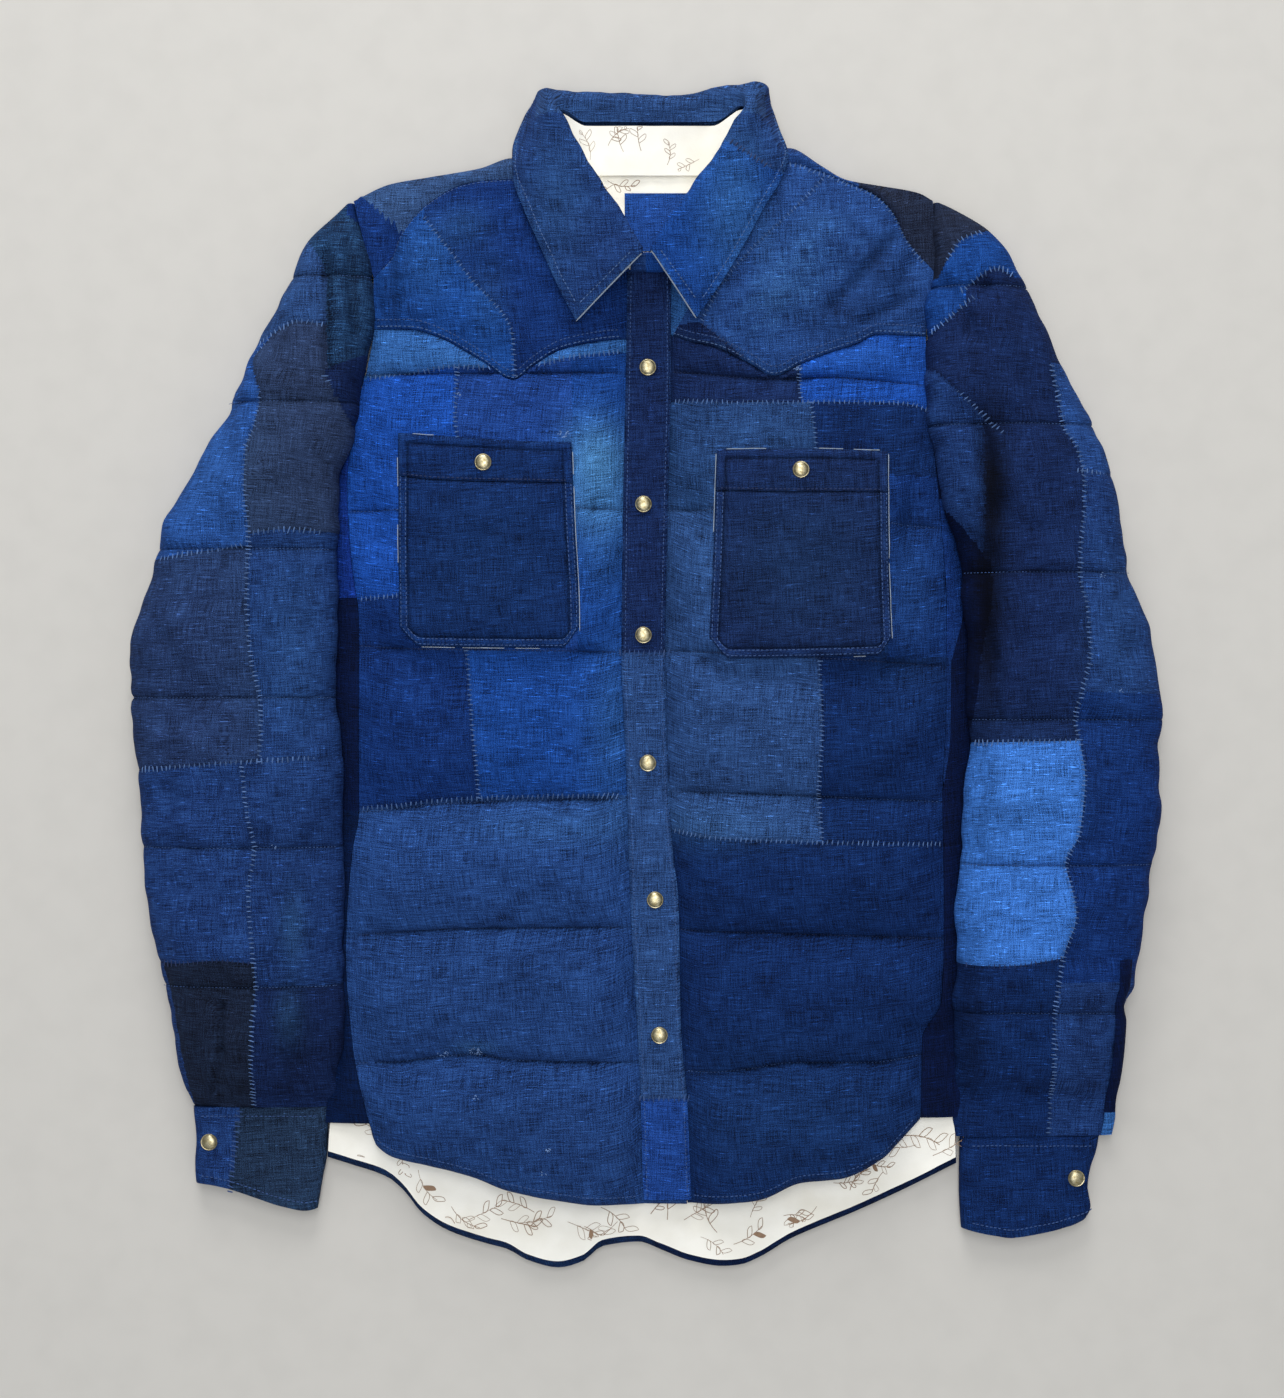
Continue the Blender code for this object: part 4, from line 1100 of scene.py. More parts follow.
def front_surface(side):
    """Quilted outer face of a front."""
    name = "front_" + side

    def top(x, y):
        lines = np.stack([line(x) for line in quilt_lines[side]])
        hem, yoke = front_hem[side](x), yoke_line[side](x)
        row = (y > lines).sum(0)
        bounds = np.concatenate([hem[None], lines, np.maximum(yoke, lines[-1] + 1)[None]])
        low = np.take_along_axis(bounds, row[None], 0)[0]
        high = np.take_along_axis(bounds, row[None] + 1, 0)[0]
        share = np.clip((y - low) / (high - low), 0, 1)
        share = np.where(row == 0, 0.06 + 0.94 * share, share)
        rows = np.sin(np.pi * share) ** PUFF_SHAPE * np.where(row == len(lines), TOP_ROW, 1)
        rows = LINE_RISE + (1 - LINE_RISE) * rows
        inside = np.maximum(inside_pocket(x, y, pockets["right"]), inside_pocket(x, y, pockets["left"]))
        plateau = np.clip(1 + (inside + 3) / 14, 0, 1)
        rows = rows + (1 - rows) * plateau
        swell, height = puffed(rows, PUFF_WALL, 0.18, side, x, y)
        off = abs(y - lines).min(0)
        relief = puckers(x, off, name) * (1 - plateau) + bumps("front", x, y) + folded(x, y, name)
        hem_roll = 3.0 * (1 - rounded(y - hem, 5))
        return height + relief * np.minimum(1, 2.5 * swell) - hem_roll - seam_groove(x, y, PATCHWORK[name])

    return top


def yoke_surface(side):
    """Outer face of a front yoke, over the front's upper edge."""
    name = "yoke_" + side

    def top(x, y):
        line = yoke_line[side](x)
        share = np.clip((y - line) / (yoke_top[side](x) - line), 0, 1)
        rows = 0.42 + 0.58 * np.sin(np.pi * share) ** PUFF_SHAPE
        swell, height = puffed(rows, YOKE_WALL, 0.2, side, x, y)
        relief = bumps("yoke", x, y) + folded(x, y, name)
        relief = relief * np.minimum(1, 2 * swell) * np.clip((y - line) / 14, 0, 1)
        return height + relief - seam_groove(x, y, PATCHWORK[name]) - 1.2 * (1 - rounded(y - line, 2))

    return top


front_face = {side: front_surface(side) for side in SIDES}
yoke_face = {side: yoke_surface(side) for side in SIDES}


def band_face(x, y):
    """Outer face of the front band."""
    inside = inside_band(x, y)
    sunk = 1.8 * (1 - rounded(inside, 2.2)) + 0.35 * hump(inside - BAND_STITCH, 0.9)
    return BAND_UNDER + BAND_WALL + BAND_SWELL * puff(y, BODY_LINES) - sunk + bumps("band", x, y)


def pocket_face(side, band=False):
    """Outer face of a pocket, or of the hem above its seam."""
    pocket, front = pockets[side], front_face[side]

    def top(x, y):
        low_x, bottom = pocket["low_x"](y), pocket["bottom"](x)
        across_it = np.clip((x - low_x) / (pocket["high_x"](y) - low_x), 0, 1)
        along = np.clip((y - bottom) / (pocket["top"](x) - bottom), 0, 1)
        swell = (np.sin(np.pi * across_it) * np.sin(np.pi * along)) ** 0.5
        inside = inside_pocket(x, y, pocket)
        sunk = 1.4 * (1 - rounded(inside, 2.0)) + 1.3 * hump(inside - POCKET_BORDER, 1.0)
        sunk = sunk - 0.8 * rounded(inside - POCKET_BORDER, 7) + 1.1 * hump(y - pocket["seam"](x), 1.5)
        return (front(x, y) + POCKET_GAP + POCKET_WALL + POCKET_SWELL * swell + POCKET_FOLD * band
                - sunk + bumps("pocket", x, y))

    return top


# Sleeves

def sleeve_parts(side, y, out=0.0):
    """Half width, middle, height and fullness of a sleeve at a distance along it."""
    outer = sleeve_outer[side](y)
    inner = body_edge[side](y) - TOWARD[side] * SLEEVE_CLEARANCE
    full = puff(y, SLEEVE_LINES[side])
    height = curve(SLEEVE_HEIGHTS)(SLEEVE_ENDS[side][1] - y) * (0.88 + 0.12 * full) + out
    return 0.5 * (inner - outer), 0.5 * (inner + outer), height, full


def sleeve_pinch(side, y, half, full):
    """How far a sleeve's outer edge is drawn in at a quilting line, less what it is fuller by."""
    return np.minimum(EDGE_PINCH * (1 - full), abs(half) / 2) - sleeve_fuller[side](y)


def sleeve_point(side, turn, y, out=0.0):
    """Point on a sleeve's outer face; turn runs round it from its outer edge over the top."""
    half, middle, height, full = sleeve_parts(side, y, out)
    widest = 0.4 * height
    over, up = np.cos(turn), np.sin(turn)
    pinch = sleeve_pinch(side, y, half, full) * (over > 0)
    lap = sleeve_lap[side](y) * (over < 0) * np.clip(0.9 + 5 * up, 0, 1)
    reach = half - np.sign(half) * (pinch - out - lap)
    x = middle - reach * np.sign(over) * abs(over) ** SLEEVE_ROUND
    above = widest + (height - widest) * np.clip(up, 0, 1) ** 0.8
    below = np.maximum(0.0, widest * (1 - 1.15 * np.clip(-up, 0, 1) ** 0.6))
    return x, y, np.where(up >= 0, above, below)


def sleeve_turn(side, x, y):
    """The turn at which a sleeve's upper half passes over a plan point."""
    half, middle, _, full = sleeve_parts(side, y)
    outside = (middle - x) / half > 0
    pinch = np.where(outside, sleeve_pinch(side, y, half, full), -sleeve_lap[side](y))
    share = (middle - x) / (half - np.sign(half) * pinch)
    return np.arccos(np.sign(share) * np.clip(abs(share), 0, 1) ** (1 / SLEEVE_ROUND))


def sleeve_relief(side, x, y):
    """Wrinkles and folds of a sleeve, as a distance outward."""
    name = "sleeve_" + side
    off = abs(y[..., None] - np.array(SLEEVE_LINES[side], float)).min(-1)
    relief = 1.1 * puckers(x, off, name) - 0.9 * np.exp(-off / 1.8)
    relief = relief + 1.1 * ripples(x, y * 0.8, 32, 55) + bumps("sleeve", x, y)
    relief = relief - seam_groove(x, y, PATCHWORK[name]) + folded(x, y, name)
    return relief * np.clip(abs(sleeve_parts(side, y)[0]) / 30, 0, 1)


def sleeve_face(side):
    """Height of a sleeve over a plan point, for what is sewn on it."""
    def top(x, y):
        return sleeve_point(side, sleeve_turn(side, x, y), y, sleeve_relief(side, x, y))[2]

    return top


# Sewing: each stitch is a slim closed body along a line on a surface

stitch_sets = {}


def distances(path):
    """Distance along a path at each of its points."""
    return np.concatenate([[0], np.cumsum(np.linalg.norm(np.diff(path, axis=0), axis=1))])


def at_distances(at, lengths, values):
    """Columns of values read off at distances along a path."""
    return np.stack([np.interp(at, lengths, column) for column in values.T], -1)


def lay(surface, points, gap=0.8):
    """Plan polyline laid on a surface: dense points and the surface's normals there."""
    points = np.array(points, float)
    lengths = distances(points)
    x, y = at_distances(np.linspace(0, lengths[-1], max(2, int(lengths[-1] / gap) + 1)), lengths, points).T
    tilt = 0.8
    slope_x = (surface(x + tilt, y) - surface(x - tilt, y)) / (2 * tilt)
    slope_y = (surface(x, y + tilt) - surface(x, y - tilt)) / (2 * tilt)
    return points_at(x, y, surface(x, y)), unit(points_at(-slope_x, -slope_y, np.ones_like(x)))


def along_line(points, gap=3.0):
    """Plan points along a sewn line's smooth course."""
    axis = 0 if across(points) else 1
    start, stop = points[0][axis], points[-1][axis]
    at = np.linspace(start, stop, max(2, int(abs(stop - start) / gap) + 1))
    there = course(points)(at)
    return np.stack([there, at] if axis else [at, there], -1)


def sew(group, path, normals, kind, colour, seed=0, allowed=None):
    """Add a row of stitches along a path, for the places that allowed(x, y) lets through."""
    pitch, length, width, height = STITCHES[kind]
    zigzag = kind == "zigzag"
    rng = np.random.default_rng(seed + 7)
    lengths = distances(path)
    count = int(lengths[-1] / pitch)
    if count < 1:
        return
    at = (np.arange(count) + 0.5) * pitch + rng.uniform(-0.12, 0.12, count) * pitch
    centre = at_distances(at, lengths, path)
    up = at_distances(at, lengths, normals)
    ahead = unit(at_distances(at + 0.6, lengths, path) - at_distances(at - 0.6, lengths, path))
    side = unit(np.cross(up, ahead))
    slant = rng.normal(0.12, 0.12, count)[:, None]
    axis, wide = (side + slant * ahead, ahead) if zigzag else (ahead + 0.3 * slant * side, side)
    reach = 0.5 * length * rng.uniform(0.82, 1.12, count)[:, None]
    if zigzag:
        centre = centre + rng.normal(0, 0.25, count)[:, None] * side
    rise = up * height
    run, half = 0.62 * axis * reach, wide * 0.5 * width
    points = np.stack([centre - axis * reach - 0.3 * rise, centre - run + half, centre + run + half,
                       centre + axis * reach - 0.3 * rise, centre + run - half, centre - run - half,
                       centre - run + rise, centre + run + rise], 1)
    dye = linear(colour) * rng.uniform(0.75, 1.25, count)[:, None]
    if allowed is not None:
        kept = allowed(centre[:, 0], centre[:, 1])
        points, dye = points[kept], dye[kept]
    stitch_sets.setdefault(group, []).append((points, dye))


def sew_line(group, surface, points, kind, colour, seed=0, allowed=None):
    """Add a row of stitches along a plan line on a surface."""
    sew(group, *lay(surface, points), kind, colour, seed, allowed)


def sew_edge(surface, points, colour, seed):
    """Add a row of running stitches beside an edge."""
    sew_line("edge_stitches", surface, points, "running", colour, seed)


def sew_patches(name, surface, colour=PALE_THREAD, allowed=None):
    """Zigzag over the seams of a patchwork."""
    work = PATCHWORK[name]
    for k, key in enumerate(work["zigzag"]):
        sew_line("patch_stitches", surface, along_line(work["lines"][key]), "zigzag",
                 DARK_THREAD if key in DULL_SEAMS else colour, row_seed(name, k), allowed)


def row_seed(name, k):
    """Repeatable seed for a row of stitches."""
    return sum(ord(c) for c in name) * 13 + k * 101


STITCH_FACES = (
    (0, 6, 1), (0, 5, 6), (1, 6, 2), (6, 7, 2), (5, 4, 6), (4, 7, 6), (2, 7, 3), (7, 4, 3), (0, 1, 5),
    (1, 2, 5), (2, 4, 5), (2, 3, 4)
)


def make_stitches():
    """One piece for each group of stitches."""
    for group, rows in stitch_sets.items():
        points, dyes = (np.concatenate(parts) for parts in zip(*rows))
        corners = len(points[0])
        faces = (np.arange(len(points))[:, None, None] * corners + np.array(STITCH_FACES)).reshape(-1, 3)
        mesh = new_mesh(group, points, faces.tolist())
        add_dye(mesh, np.repeat(dyes, 3 * len(STITCH_FACES), 0))
        put(group, mesh, THREAD, dressed=False, sharp=80)


# Materials

def new_material(name, values):
    """Material with its shader, a function that feeds a node's inputs, and one that adds a node."""
    material = bpy.data.materials.new(name)
    material.use_nodes = True
    tree = material.node_tree
    shader = tree.nodes["Principled BSDF"]

    def feed(node, values):
        for key, value in values.items():
            if isinstance(value, bpy.types.NodeSocket):
                tree.links.new(value, node.inputs[key])
            else:
                node.inputs[key].default_value = value
        return node

    def add(kind, values, **settings):
        made = tree.nodes.new("ShaderNode" + kind)
        for key, value in settings.items():
            setattr(made, key, value)
        return feed(made, values)

    return material, feed(shader, values), feed, add


def noise_at(add, size, detail=2.0):
    """Noise over a piece, finer as the size grows."""
    place = add("TexCoord", {}).outputs["Object"]
    return add("TexNoise", {"Vector": place, "Scale": size, "Detail": detail}).outputs["Fac"]


def two_tone(add, noise, colours, stops):
    """Colour that runs from one to another along a noise."""
    ramp = add("ValToRGB", {"Fac": noise})
    for element, colour, stop in zip(ramp.color_ramp.elements, colours, stops):
        element.color = (*colour, 1)
        element.position = stop
    return ramp.outputs["Color"]


def cloth_nodes():
    """Hand-woven cotton: uneven threads both ways, thick slubs, lint, and dye rubbed off its high places."""
    material, shader, feed, add = new_material("indigo_cotton", {"Roughness": 0.9, "Specular IOR Level": 0.1})
    dye = add("Attribute", {}, attribute_name="dye").outputs["Color"]
    grain = add("Attribute", {}, attribute_name="grain").outputs["Vector"]
    worn = add("Attribute", {}, attribute_name="worn").outputs["Fac"]

    def worked(operation, a, b):
        return add("Math", {0: a, 1: b}, operation=operation).outputs[0]

    def spread(value, low, high, to_low, to_high):
        values = {"Value": value, "From Min": low, "From Max": high, "To Min": to_low, "To Max": to_high}
        return add("MapRange", values, clamp=True).outputs[0]

    def noise(scale, detail):
        stretched = add("VectorMath", {0: grain, 1: scale}, operation="MULTIPLY").outputs[0]
        return add("TexNoise", {"Vector": stretched, "Scale": 1.0, "Detail": detail}).outputs["Fac"]

    tone = 1.0
    for scale, detail, amount in WEAVE:
        tone = worked("ADD", tone, spread(noise(scale, detail), 0.27, 0.73, -0.5 * amount, 0.5 * amount))
    tone = worked("MAXIMUM", tone, 0.12)
    shade = add("VectorMath", {0: dye, "Scale": tone}, operation="SCALE").outputs[0]
    rubbed = worked("MULTIPLY", spread(tone, 0.95, 1.9, 0.0, 0.4), worn)
    pale = add("Mix", {"Factor": rubbed, "A": shade, "B": (*WASHED, 1)}, data_type="RGBA").outputs["Result"]
    lint = spread(noise((0.16, 1.4, 1.7), 0.0), 0.72, 0.8, 1.0, 2.4)
    flecked = add("VectorMath", {0: pale, "Scale": lint}, operation="SCALE").outputs[0]
    relief = add("Bump", {"Height": tone, "Strength": 0.3, "Distance": 0.0006}).outputs[0]
    feed(shader, {"Base Color": flecked, "Normal": relief})
    return material


def cream_nodes():
    """Plain cream cotton of the lining, softly creased."""
    material, shader, feed, add = new_material("lining_cotton", {"Roughness": 0.9})
    colour = two_tone(add, noise_at(add, 26, 4), ((0.82, 0.79, 0.7), (0.92, 0.9, 0.83)), (0.3, 0.6))
    relief = add("Bump", {"Height": noise_at(add, 900), "Strength": 0.25, "Distance": 0.0004}).outputs[0]
    feed(shader, {"Base Color": colour, "Normal": relief})
    return material


def thread_nodes():
    """Twisted cotton thread in each row's own colour."""
    material, shader, feed, add = new_material("sewing_thread", {"Roughness": 0.75})
    dye = add("Attribute", {}, attribute_name="dye").outputs["Color"]
    twist = add("MapRange", {"Value": noise_at(add, 1400), "To Min": 0.7, "To Max": 1.3}).outputs[0]
    feed(shader, {"Base Color": add("VectorMath", {0: dye, "Scale": twist}, operation="SCALE").outputs[0]})
    return material


def brass_nodes():
    """Pale brass, brushed by wear and darker where it has tarnished."""
    material, shader, feed, add = new_material("snap_brass", {"Metallic": 1.0})
    spots = noise_at(add, 420, 3)
    colour = two_tone(add, spots, ((0.27, 0.22, 0.11), (0.5, 0.45, 0.3)), (0.32, 0.62))
    rough = add("MapRange", {"Value": spots, "To Min": 0.5, "To Max": 0.25}).outputs[0]
    feed(shader, {"Base Color": colour, "Roughness": rough})
    return material


def plain_nodes(name, colour, size, roughness=0.9, darker=0.8):
    """Even colour with a fine uneven grain."""
    material, shader, feed, add = new_material(name, {"Roughness": roughness})
    colours = ([darker * share for share in colour], colour)
    feed(shader, {"Base Color": two_tone(add, noise_at(add, size), colours, (0.3, 0.6))})
    return material


CLOTH = cloth_nodes()
CREAM = cream_nodes()
THREAD = thread_nodes()
BRASS = brass_nodes()
PIPING = plain_nodes("piping_cotton", (0.33, 0.4, 0.5), 260)
INK = plain_nodes("printed_line", (0.3, 0.19, 0.12), 500)


# Pieces of the body

def on_body(side, low, high):
    """Whether a plan point lies on the open part of a front or a yoke, between its lower and upper line."""
    def allowed(x, y):
        return ((from_seam(side, x, y) > 1.5) & (inside_band(x, y) < -1.0) & (y > low(x) + 2)
                & (y < high(x) - 1) & (inside_pocket(x, y, pockets[side]) < 0))

    return allowed


def quilted_shade(off):
    """Painted shade: the dye is darker in the fold that a quilting line makes."""
    return 1 - 0.34 * hump(off, 0.8) - 0.12 * hump(off, 3.5)


def front_sides(side):
    """Side lines of a front and of its yoke; both fronts end under the front band."""
    seam, edge = front_seam[side], band_edge["left"]
    return (seam, moved(edge, -3.0)) if side == "right" else (moved(edge, -2.4), seam)


def make_front(side):
    """Quilted front with its sewing."""
    right, name, face, hem = side == "right", "front_" + side, front_face[side], front_hem[side]

    def shade(x, y):
        return quilted_shade(np.stack([abs(y - line(x)) for line in quilt_lines[side]]).min(0))

    piece = pad(name, front_sides(side), (hem, moved(yoke_line[side], -GAP)), face, FRONT_UNDER,
                QUILTING[side], worn=lambda x, y, z: 0.25 * np.exp(-abs(y - hem(x)) / 5),
                shade=shade)
    allowed = on_body(side, hem, yoke_line[side])
    sew_patches(name, face, allowed=allowed)
    low, high = (-207, band_edge["right"](0)) if right else (band_edge["left"](0), 207)
    for k, line in enumerate(QUILTING[side]):
        points = [p for p in along_line(line) if low < p[0] < high and inside_pocket(*p, pockets[side]) < 0]
        sew_line("quilting_stitches", face, points, "fine", DARK_THREAD if k % 2 else BLUE_THREAD, k, allowed)
    xs = np.linspace(*((-186, -6) if right else (32, 184)), 60)
    sew_edge(face, [(x, hem(x) + 6) for x in xs], BLUE_THREAD, 3)


def yoke_rub(x, y):
    """Rubbed streaks that run slantwise over the left yoke."""
    along = 0.73 * (x - 102) + 0.68 * (y - 272)
    aside = 0.68 * (x - 102) - 0.73 * (y - 272)
    streaks = ripples(along / 5, aside, 2.6, 33)
    return np.exp(-(along / 44) ** 2 - (aside / 17) ** 2) * (0.5 + 1.2 * np.clip(streaks, 0, 1))


def make_yoke(side):
    """Pointed front yoke with its sewing."""
    name, face, line = "yoke_" + side, yoke_face[side], yoke_line[side]
    piece = pad(name, front_sides(side), (line, yoke_top[side]), face, FRONT_UNDER,
                worn=lambda x, y, z: 0.4 * np.exp(-abs(y - line(x)) / 2.5) + yoke_rub(x, y))
    sew_patches(name, face, allowed=on_body(side, line, yoke_top[side]))
    xs = np.linspace(*((-186, -18) if side == "right" else (18, 194)), 90)
    for inset, colour in ((1.8, PALE_THREAD), (6.2, BLUE_THREAD)):
        sew_edge(face, [(x, line(x) + inset) for x in xs], colour, 9)


def make_shoulder(side):
    """Part of the back yoke that comes forward over the shoulder and rolls down to its outline."""
    right, name, seam = side == "right", "shoulder_" + side, yoke_top[side]
    low_edge, high_edge = (front_seam[side], band_edge[side])[::TOWARD[side]]
    shares = np.linspace(*((0, 0.66) if right else (0.33, 1)), round(130 / step))
    tips = (-202.4, -72) if right else (72, 198.2)
    start = 0 * shares
    for _ in range(10):
        low, high = low_edge(seam(start)), high_edge(seam(start))
        start = low + (high - low) * shares
    v = np.linspace(0, 1, round(46 / step))[:, None]
    tip = tips[0] + (tips[1] - tips[0]) * (start - start[0]) / (start[-1] - start[0])
    begin_y = seam(start) + GAP
    x = start + (tip - start) * v
    y = begin_y + (shoulder_line(tip) - begin_y) * v
    rise = yoke_face[side](start, seam(start)) - SHOULDER_FOOT
    z = SHOULDER_FOOT + rise * np.sin(0.5 * np.pi * (1 - v)) ** 0.8
    z = z + (3 + 0.7 * ripples(x, y, 22, 71)) * np.sin(np.pi * (1 - v))
    on = snap(x, y, list(PATCHWORK[name]["lines"].values()))
    mesh = new_mesh(name, points_at(x, y, z), grid_faces(x.shape, on))
    close_below(mesh, BACK_WALL + GAP)
    dress(mesh, PATCHWORK[name])
    put(name, mesh, CLOTH)
    kind, colour = ("running", BLUE_THREAD) if right else ("zigzag", PALE_THREAD)
    sew_line("patch_stitches", yoke_face[side], list(zip(start, begin_y - 1.2))[3:-3], kind, colour, 17)


def make_side(side):
    """Narrow panel between the back's edge and the front's side seam."""
    top, bottom = (190, -306) if side == "right" else (166, -302)
    outer = moved(body_edge[side], -SIDE_TUCK * TOWARD[side])
    inner = moved(front_seam[side], -GAP * TOWARD[side])

    def face(x, y):
        share = np.clip(abs(x - outer(y)) / np.maximum(1, abs(inner(y) - outer(y))), 0, 1)
        rise = front_face[side](inner(y), y)
        return SHOULDER_FOOT + (rise - SHOULDER_FOOT) * np.sin(0.5 * np.pi * share)

    piece = pad("side_" + side, (outer, inner)[::TOWARD[side]], (level(bottom), level(top)), face,
                FRONT_UNDER)


def make_band():
    """Front band with its rows of stitches."""
    piece = pad("placket", (band_edge["right"], band_edge["left"]), (level(BAND_FOOT), level(BAND_TOP)),
                band_face, BAND_UNDER,
                worn=lambda x, y, z: 0.35 * np.exp(-inside_band(x, y) / 2.0))
    sew_patches("placket", band_face, BLUE_THREAD)
    ys = np.linspace(BAND_FOOT + 2, BAND_TOP - 2, 200)
    for side in SIDES:
        line = [(band_edge[side](y) + TOWARD[side] * BAND_STITCH, y) for y in ys]
        sew_edge(band_face, line, BLUE_THREAD, 5)


def pocket_shade(x, y, pocket):
    """Painted shade in the stitched border groove and the seam of a pocket; the dye is paler between border
    and edge.
    """
    inside = inside_pocket(x, y, pocket)
    border = 0.5 * hump(inside - POCKET_BORDER, 1.0) - 0.2 * hump(inside - 3.2, 2.2)
    return 1 - border - 0.4 * hump(y - pocket["seam"](x), 1.1)


def make_pocket(side):
    """Patch pocket, the hem above its seam, and their stitches."""
    pocket, front = pockets[side], front_face[side]
    low_x, high_x, bottom, top, seam = (pocket[key] for key in ("low_x", "high_x", "bottom", "top", "seam"))
    for name, lines, tall, band in (("pocket_" + side, (bottom, moved(seam, -GAP)), 0.112, False),
                                    ("pocket_band_" + side, (seam, top), 0.029, True)):
        x, y = plan_grid((low_x, high_x), lines, 0.7 * step)
        mesh = two_faces(name, points_at(x, y, pocket_face(side, band)(x, y)),
                         points_at(x, y, front(x, y) + POCKET_GAP))
        dress(mesh, PATCHWORK["pocket_" + side],
              worn=lambda x, y, z: 0.3 * np.exp(-np.clip(inside_pocket(x, y, pocket), 0, APART) / 2),
              shade=lambda x, y: pocket_shade(x, y, pocket))
        piece = put(name, mesh, CLOTH)
    ys = np.linspace(top(-100 * TOWARD[side]) - 2, bottom(low_x(40)) + 4, 60)
    for inset in (POCKET_BORDER - 1.2, 1.4):
        xs = np.linspace(low_x(30) + inset, high_x(30) - inset, 60)
        outline = ([(low_x(y) + inset, y) for y in ys] + [(x, bottom(x) + inset) for x in xs]
                   + [(high_x(y) - inset, y) for y in ys[::-1]])
        sew_edge(pocket_face(side), outline, BLUE_THREAD, 21)
    xs = np.linspace(low_x(130) + 3, high_x(130) - 3, 40)
    sew_edge(pocket_face(side, True), [(x, seam(x) + 1.6) for x in xs], DARK_THREAD, 22)


def tube(path, radius, sides=6):
    """Points and faces of a thin round cord along a path in space."""
    path = np.asarray(path, float)
    ahead = unit(np.gradient(path, axis=0))
    side = unit(np.cross(ahead, (0.0, 0.0, 1.0)))
    up = np.cross(side, ahead)
    turn = np.linspace(0, 2 * np.pi, sides, endpoint=False)
    ends = np.ones(len(path))
    ends[[0, -1]] = 0.3
    ring = side[:, None] * np.cos(turn)[None, :, None] + up[:, None] * np.sin(turn)[None, :, None]
    points = path[:, None] + ring * radius * ends[:, None, None]
    last = (len(path) - 1) * sides
    faces = grid_faces(points.shape, closed=True)
    return points.reshape(-1, 3), faces + [list(range(sides))[::-1], list(range(last, last + sides))]


def put_together(name, parts, material):
    """Show several sets of points and faces as one piece."""
    faces, start = [], 0
    for points, some_faces in parts:
        faces += [[start + v for v in face] for face in some_faces]
        start += len(points)
    mesh = new_mesh(name, np.concatenate([points for points, _ in parts]), faces)
    put(name, mesh, material, dressed=False)


def make_piping():
    """White piping that shows along the pockets' edges."""
    parts = []
    for side in SIDES:
        pocket, front = pockets[side], front_face[side]
        for edge, start, stop in PIPED[side]:
            share = np.linspace(start, stop, 50)
            if edge in ("high_x", "low_x"):
                y = 28 + (158 - 28) * share
                x = pocket[edge](y) + (0.5 if edge == "high_x" else -0.5)
            else:
                x = pocket["low_x"](100) + (pocket["high_x"](100) - pocket["low_x"](100)) * share
                y = pocket[edge](x) + (-0.5 if edge == "bottom" else 0.4)
            z = front(x, y) + 1.3 + 0.7 * ripples(share * 100, 0 * share, 7, 61)
            parts.append(tube(points_at(x, y, z), 0.28))
    put_together("pocket_piping", parts, PIPING)


# Sleeves and cuffs

def make_sleeve(side):
    """Padded sleeve lying flat, with its sewing."""
    name = "sleeve_" + side
    work, quilting = PATCHWORK[name], np.array(SLEEVE_LINES[side][1:-1], float)
    end, top = SLEEVE_ENDS[side][0], SLEEVE_CROWN
    turns = np.concatenate([np.linspace(0, np.pi, round(190 / step) + 1),
                            np.linspace(np.pi, 2 * np.pi, 34)[1:-1]])
    ys = np.linspace(end, top, round((top - end) / step) + 1)
    beside = np.array(FOLD_ROWS)
    for line in quilting:
        row = abs(ys - line).argmin()
        ys[row - 2:row + 3] = line + np.concatenate([-beside[::-1], [0], beside])
    turn, y = np.meshgrid(turns, ys)
    x = sleeve_point(side, turn, y)[0]

    def shift(rows, columns, target):
        turn[rows, columns] = sleeve_turn(side, target, y[rows, columns])
        x[rows, columns] = target

    on = snap(x, y, list(work["lines"].values()), shift, turn <= np.pi)
    points = points_at(*sleeve_point(side, turn, y, sleeve_relief(side, x, y)))
    ring, last = list(range(len(turns))), x.size - len(turns)
    faces = grid_faces(x.shape, on, closed=True) + [ring, [last + k for k in ring[::-1]]]
    mesh = new_mesh(name, points, faces)
    tidy_normals(mesh)

    def unroll(x, y, z):
        _, middle, height, _ = sleeve_parts(side, y)
        return middle + np.sign(x - middle) * (abs(x - middle) + height - z), y

    dress(mesh, work, unroll, shade=lambda x, y: quilted_shade(abs(y[:, None] - quilting).min(1)))
    put(name, mesh, CLOTH)

    def allowed(x, y):
        half, middle, _, _ = sleeve_parts(side, y)
        share = (middle - x) / half
        return (share < 0.93) & (share > -1.0) & (y > end + 1) & (y < top - 8)

    sew_patches(name, sleeve_face(side), allowed=allowed)
    for line in quilting:
        ends = [(sleeve_point(side, at, line)[0], line) for at in (0.35, np.pi - 0.3)]
        sew_line("quilting_stitches", sleeve_face(side), ends, "fine", BLUE_THREAD, 31)


def make_vent():
    """Strip beside the sleeve's vent."""
    share, y = np.meshgrid(np.linspace(0, 1, 9), np.linspace(SLEEVE_ENDS["left"][0] + 1, VENT_TOP, 56))
    low, high = (curve(turns)(y) for turns in VENT_TURNS)
    turn = low + (high - low) * share
    rise = 1.0 + (VENT_RISE - 1.0) * np.sin(np.pi * share) ** 0.4
    mesh = two_faces("vent_left", points_at(*sleeve_point("left", turn, y, rise)),
                     points_at(*sleeve_point("left", turn, y, 0.8)))
    dress(mesh, PATCHWORK["vent_left"])
    piece = put("vent_left", mesh, CLOTH)


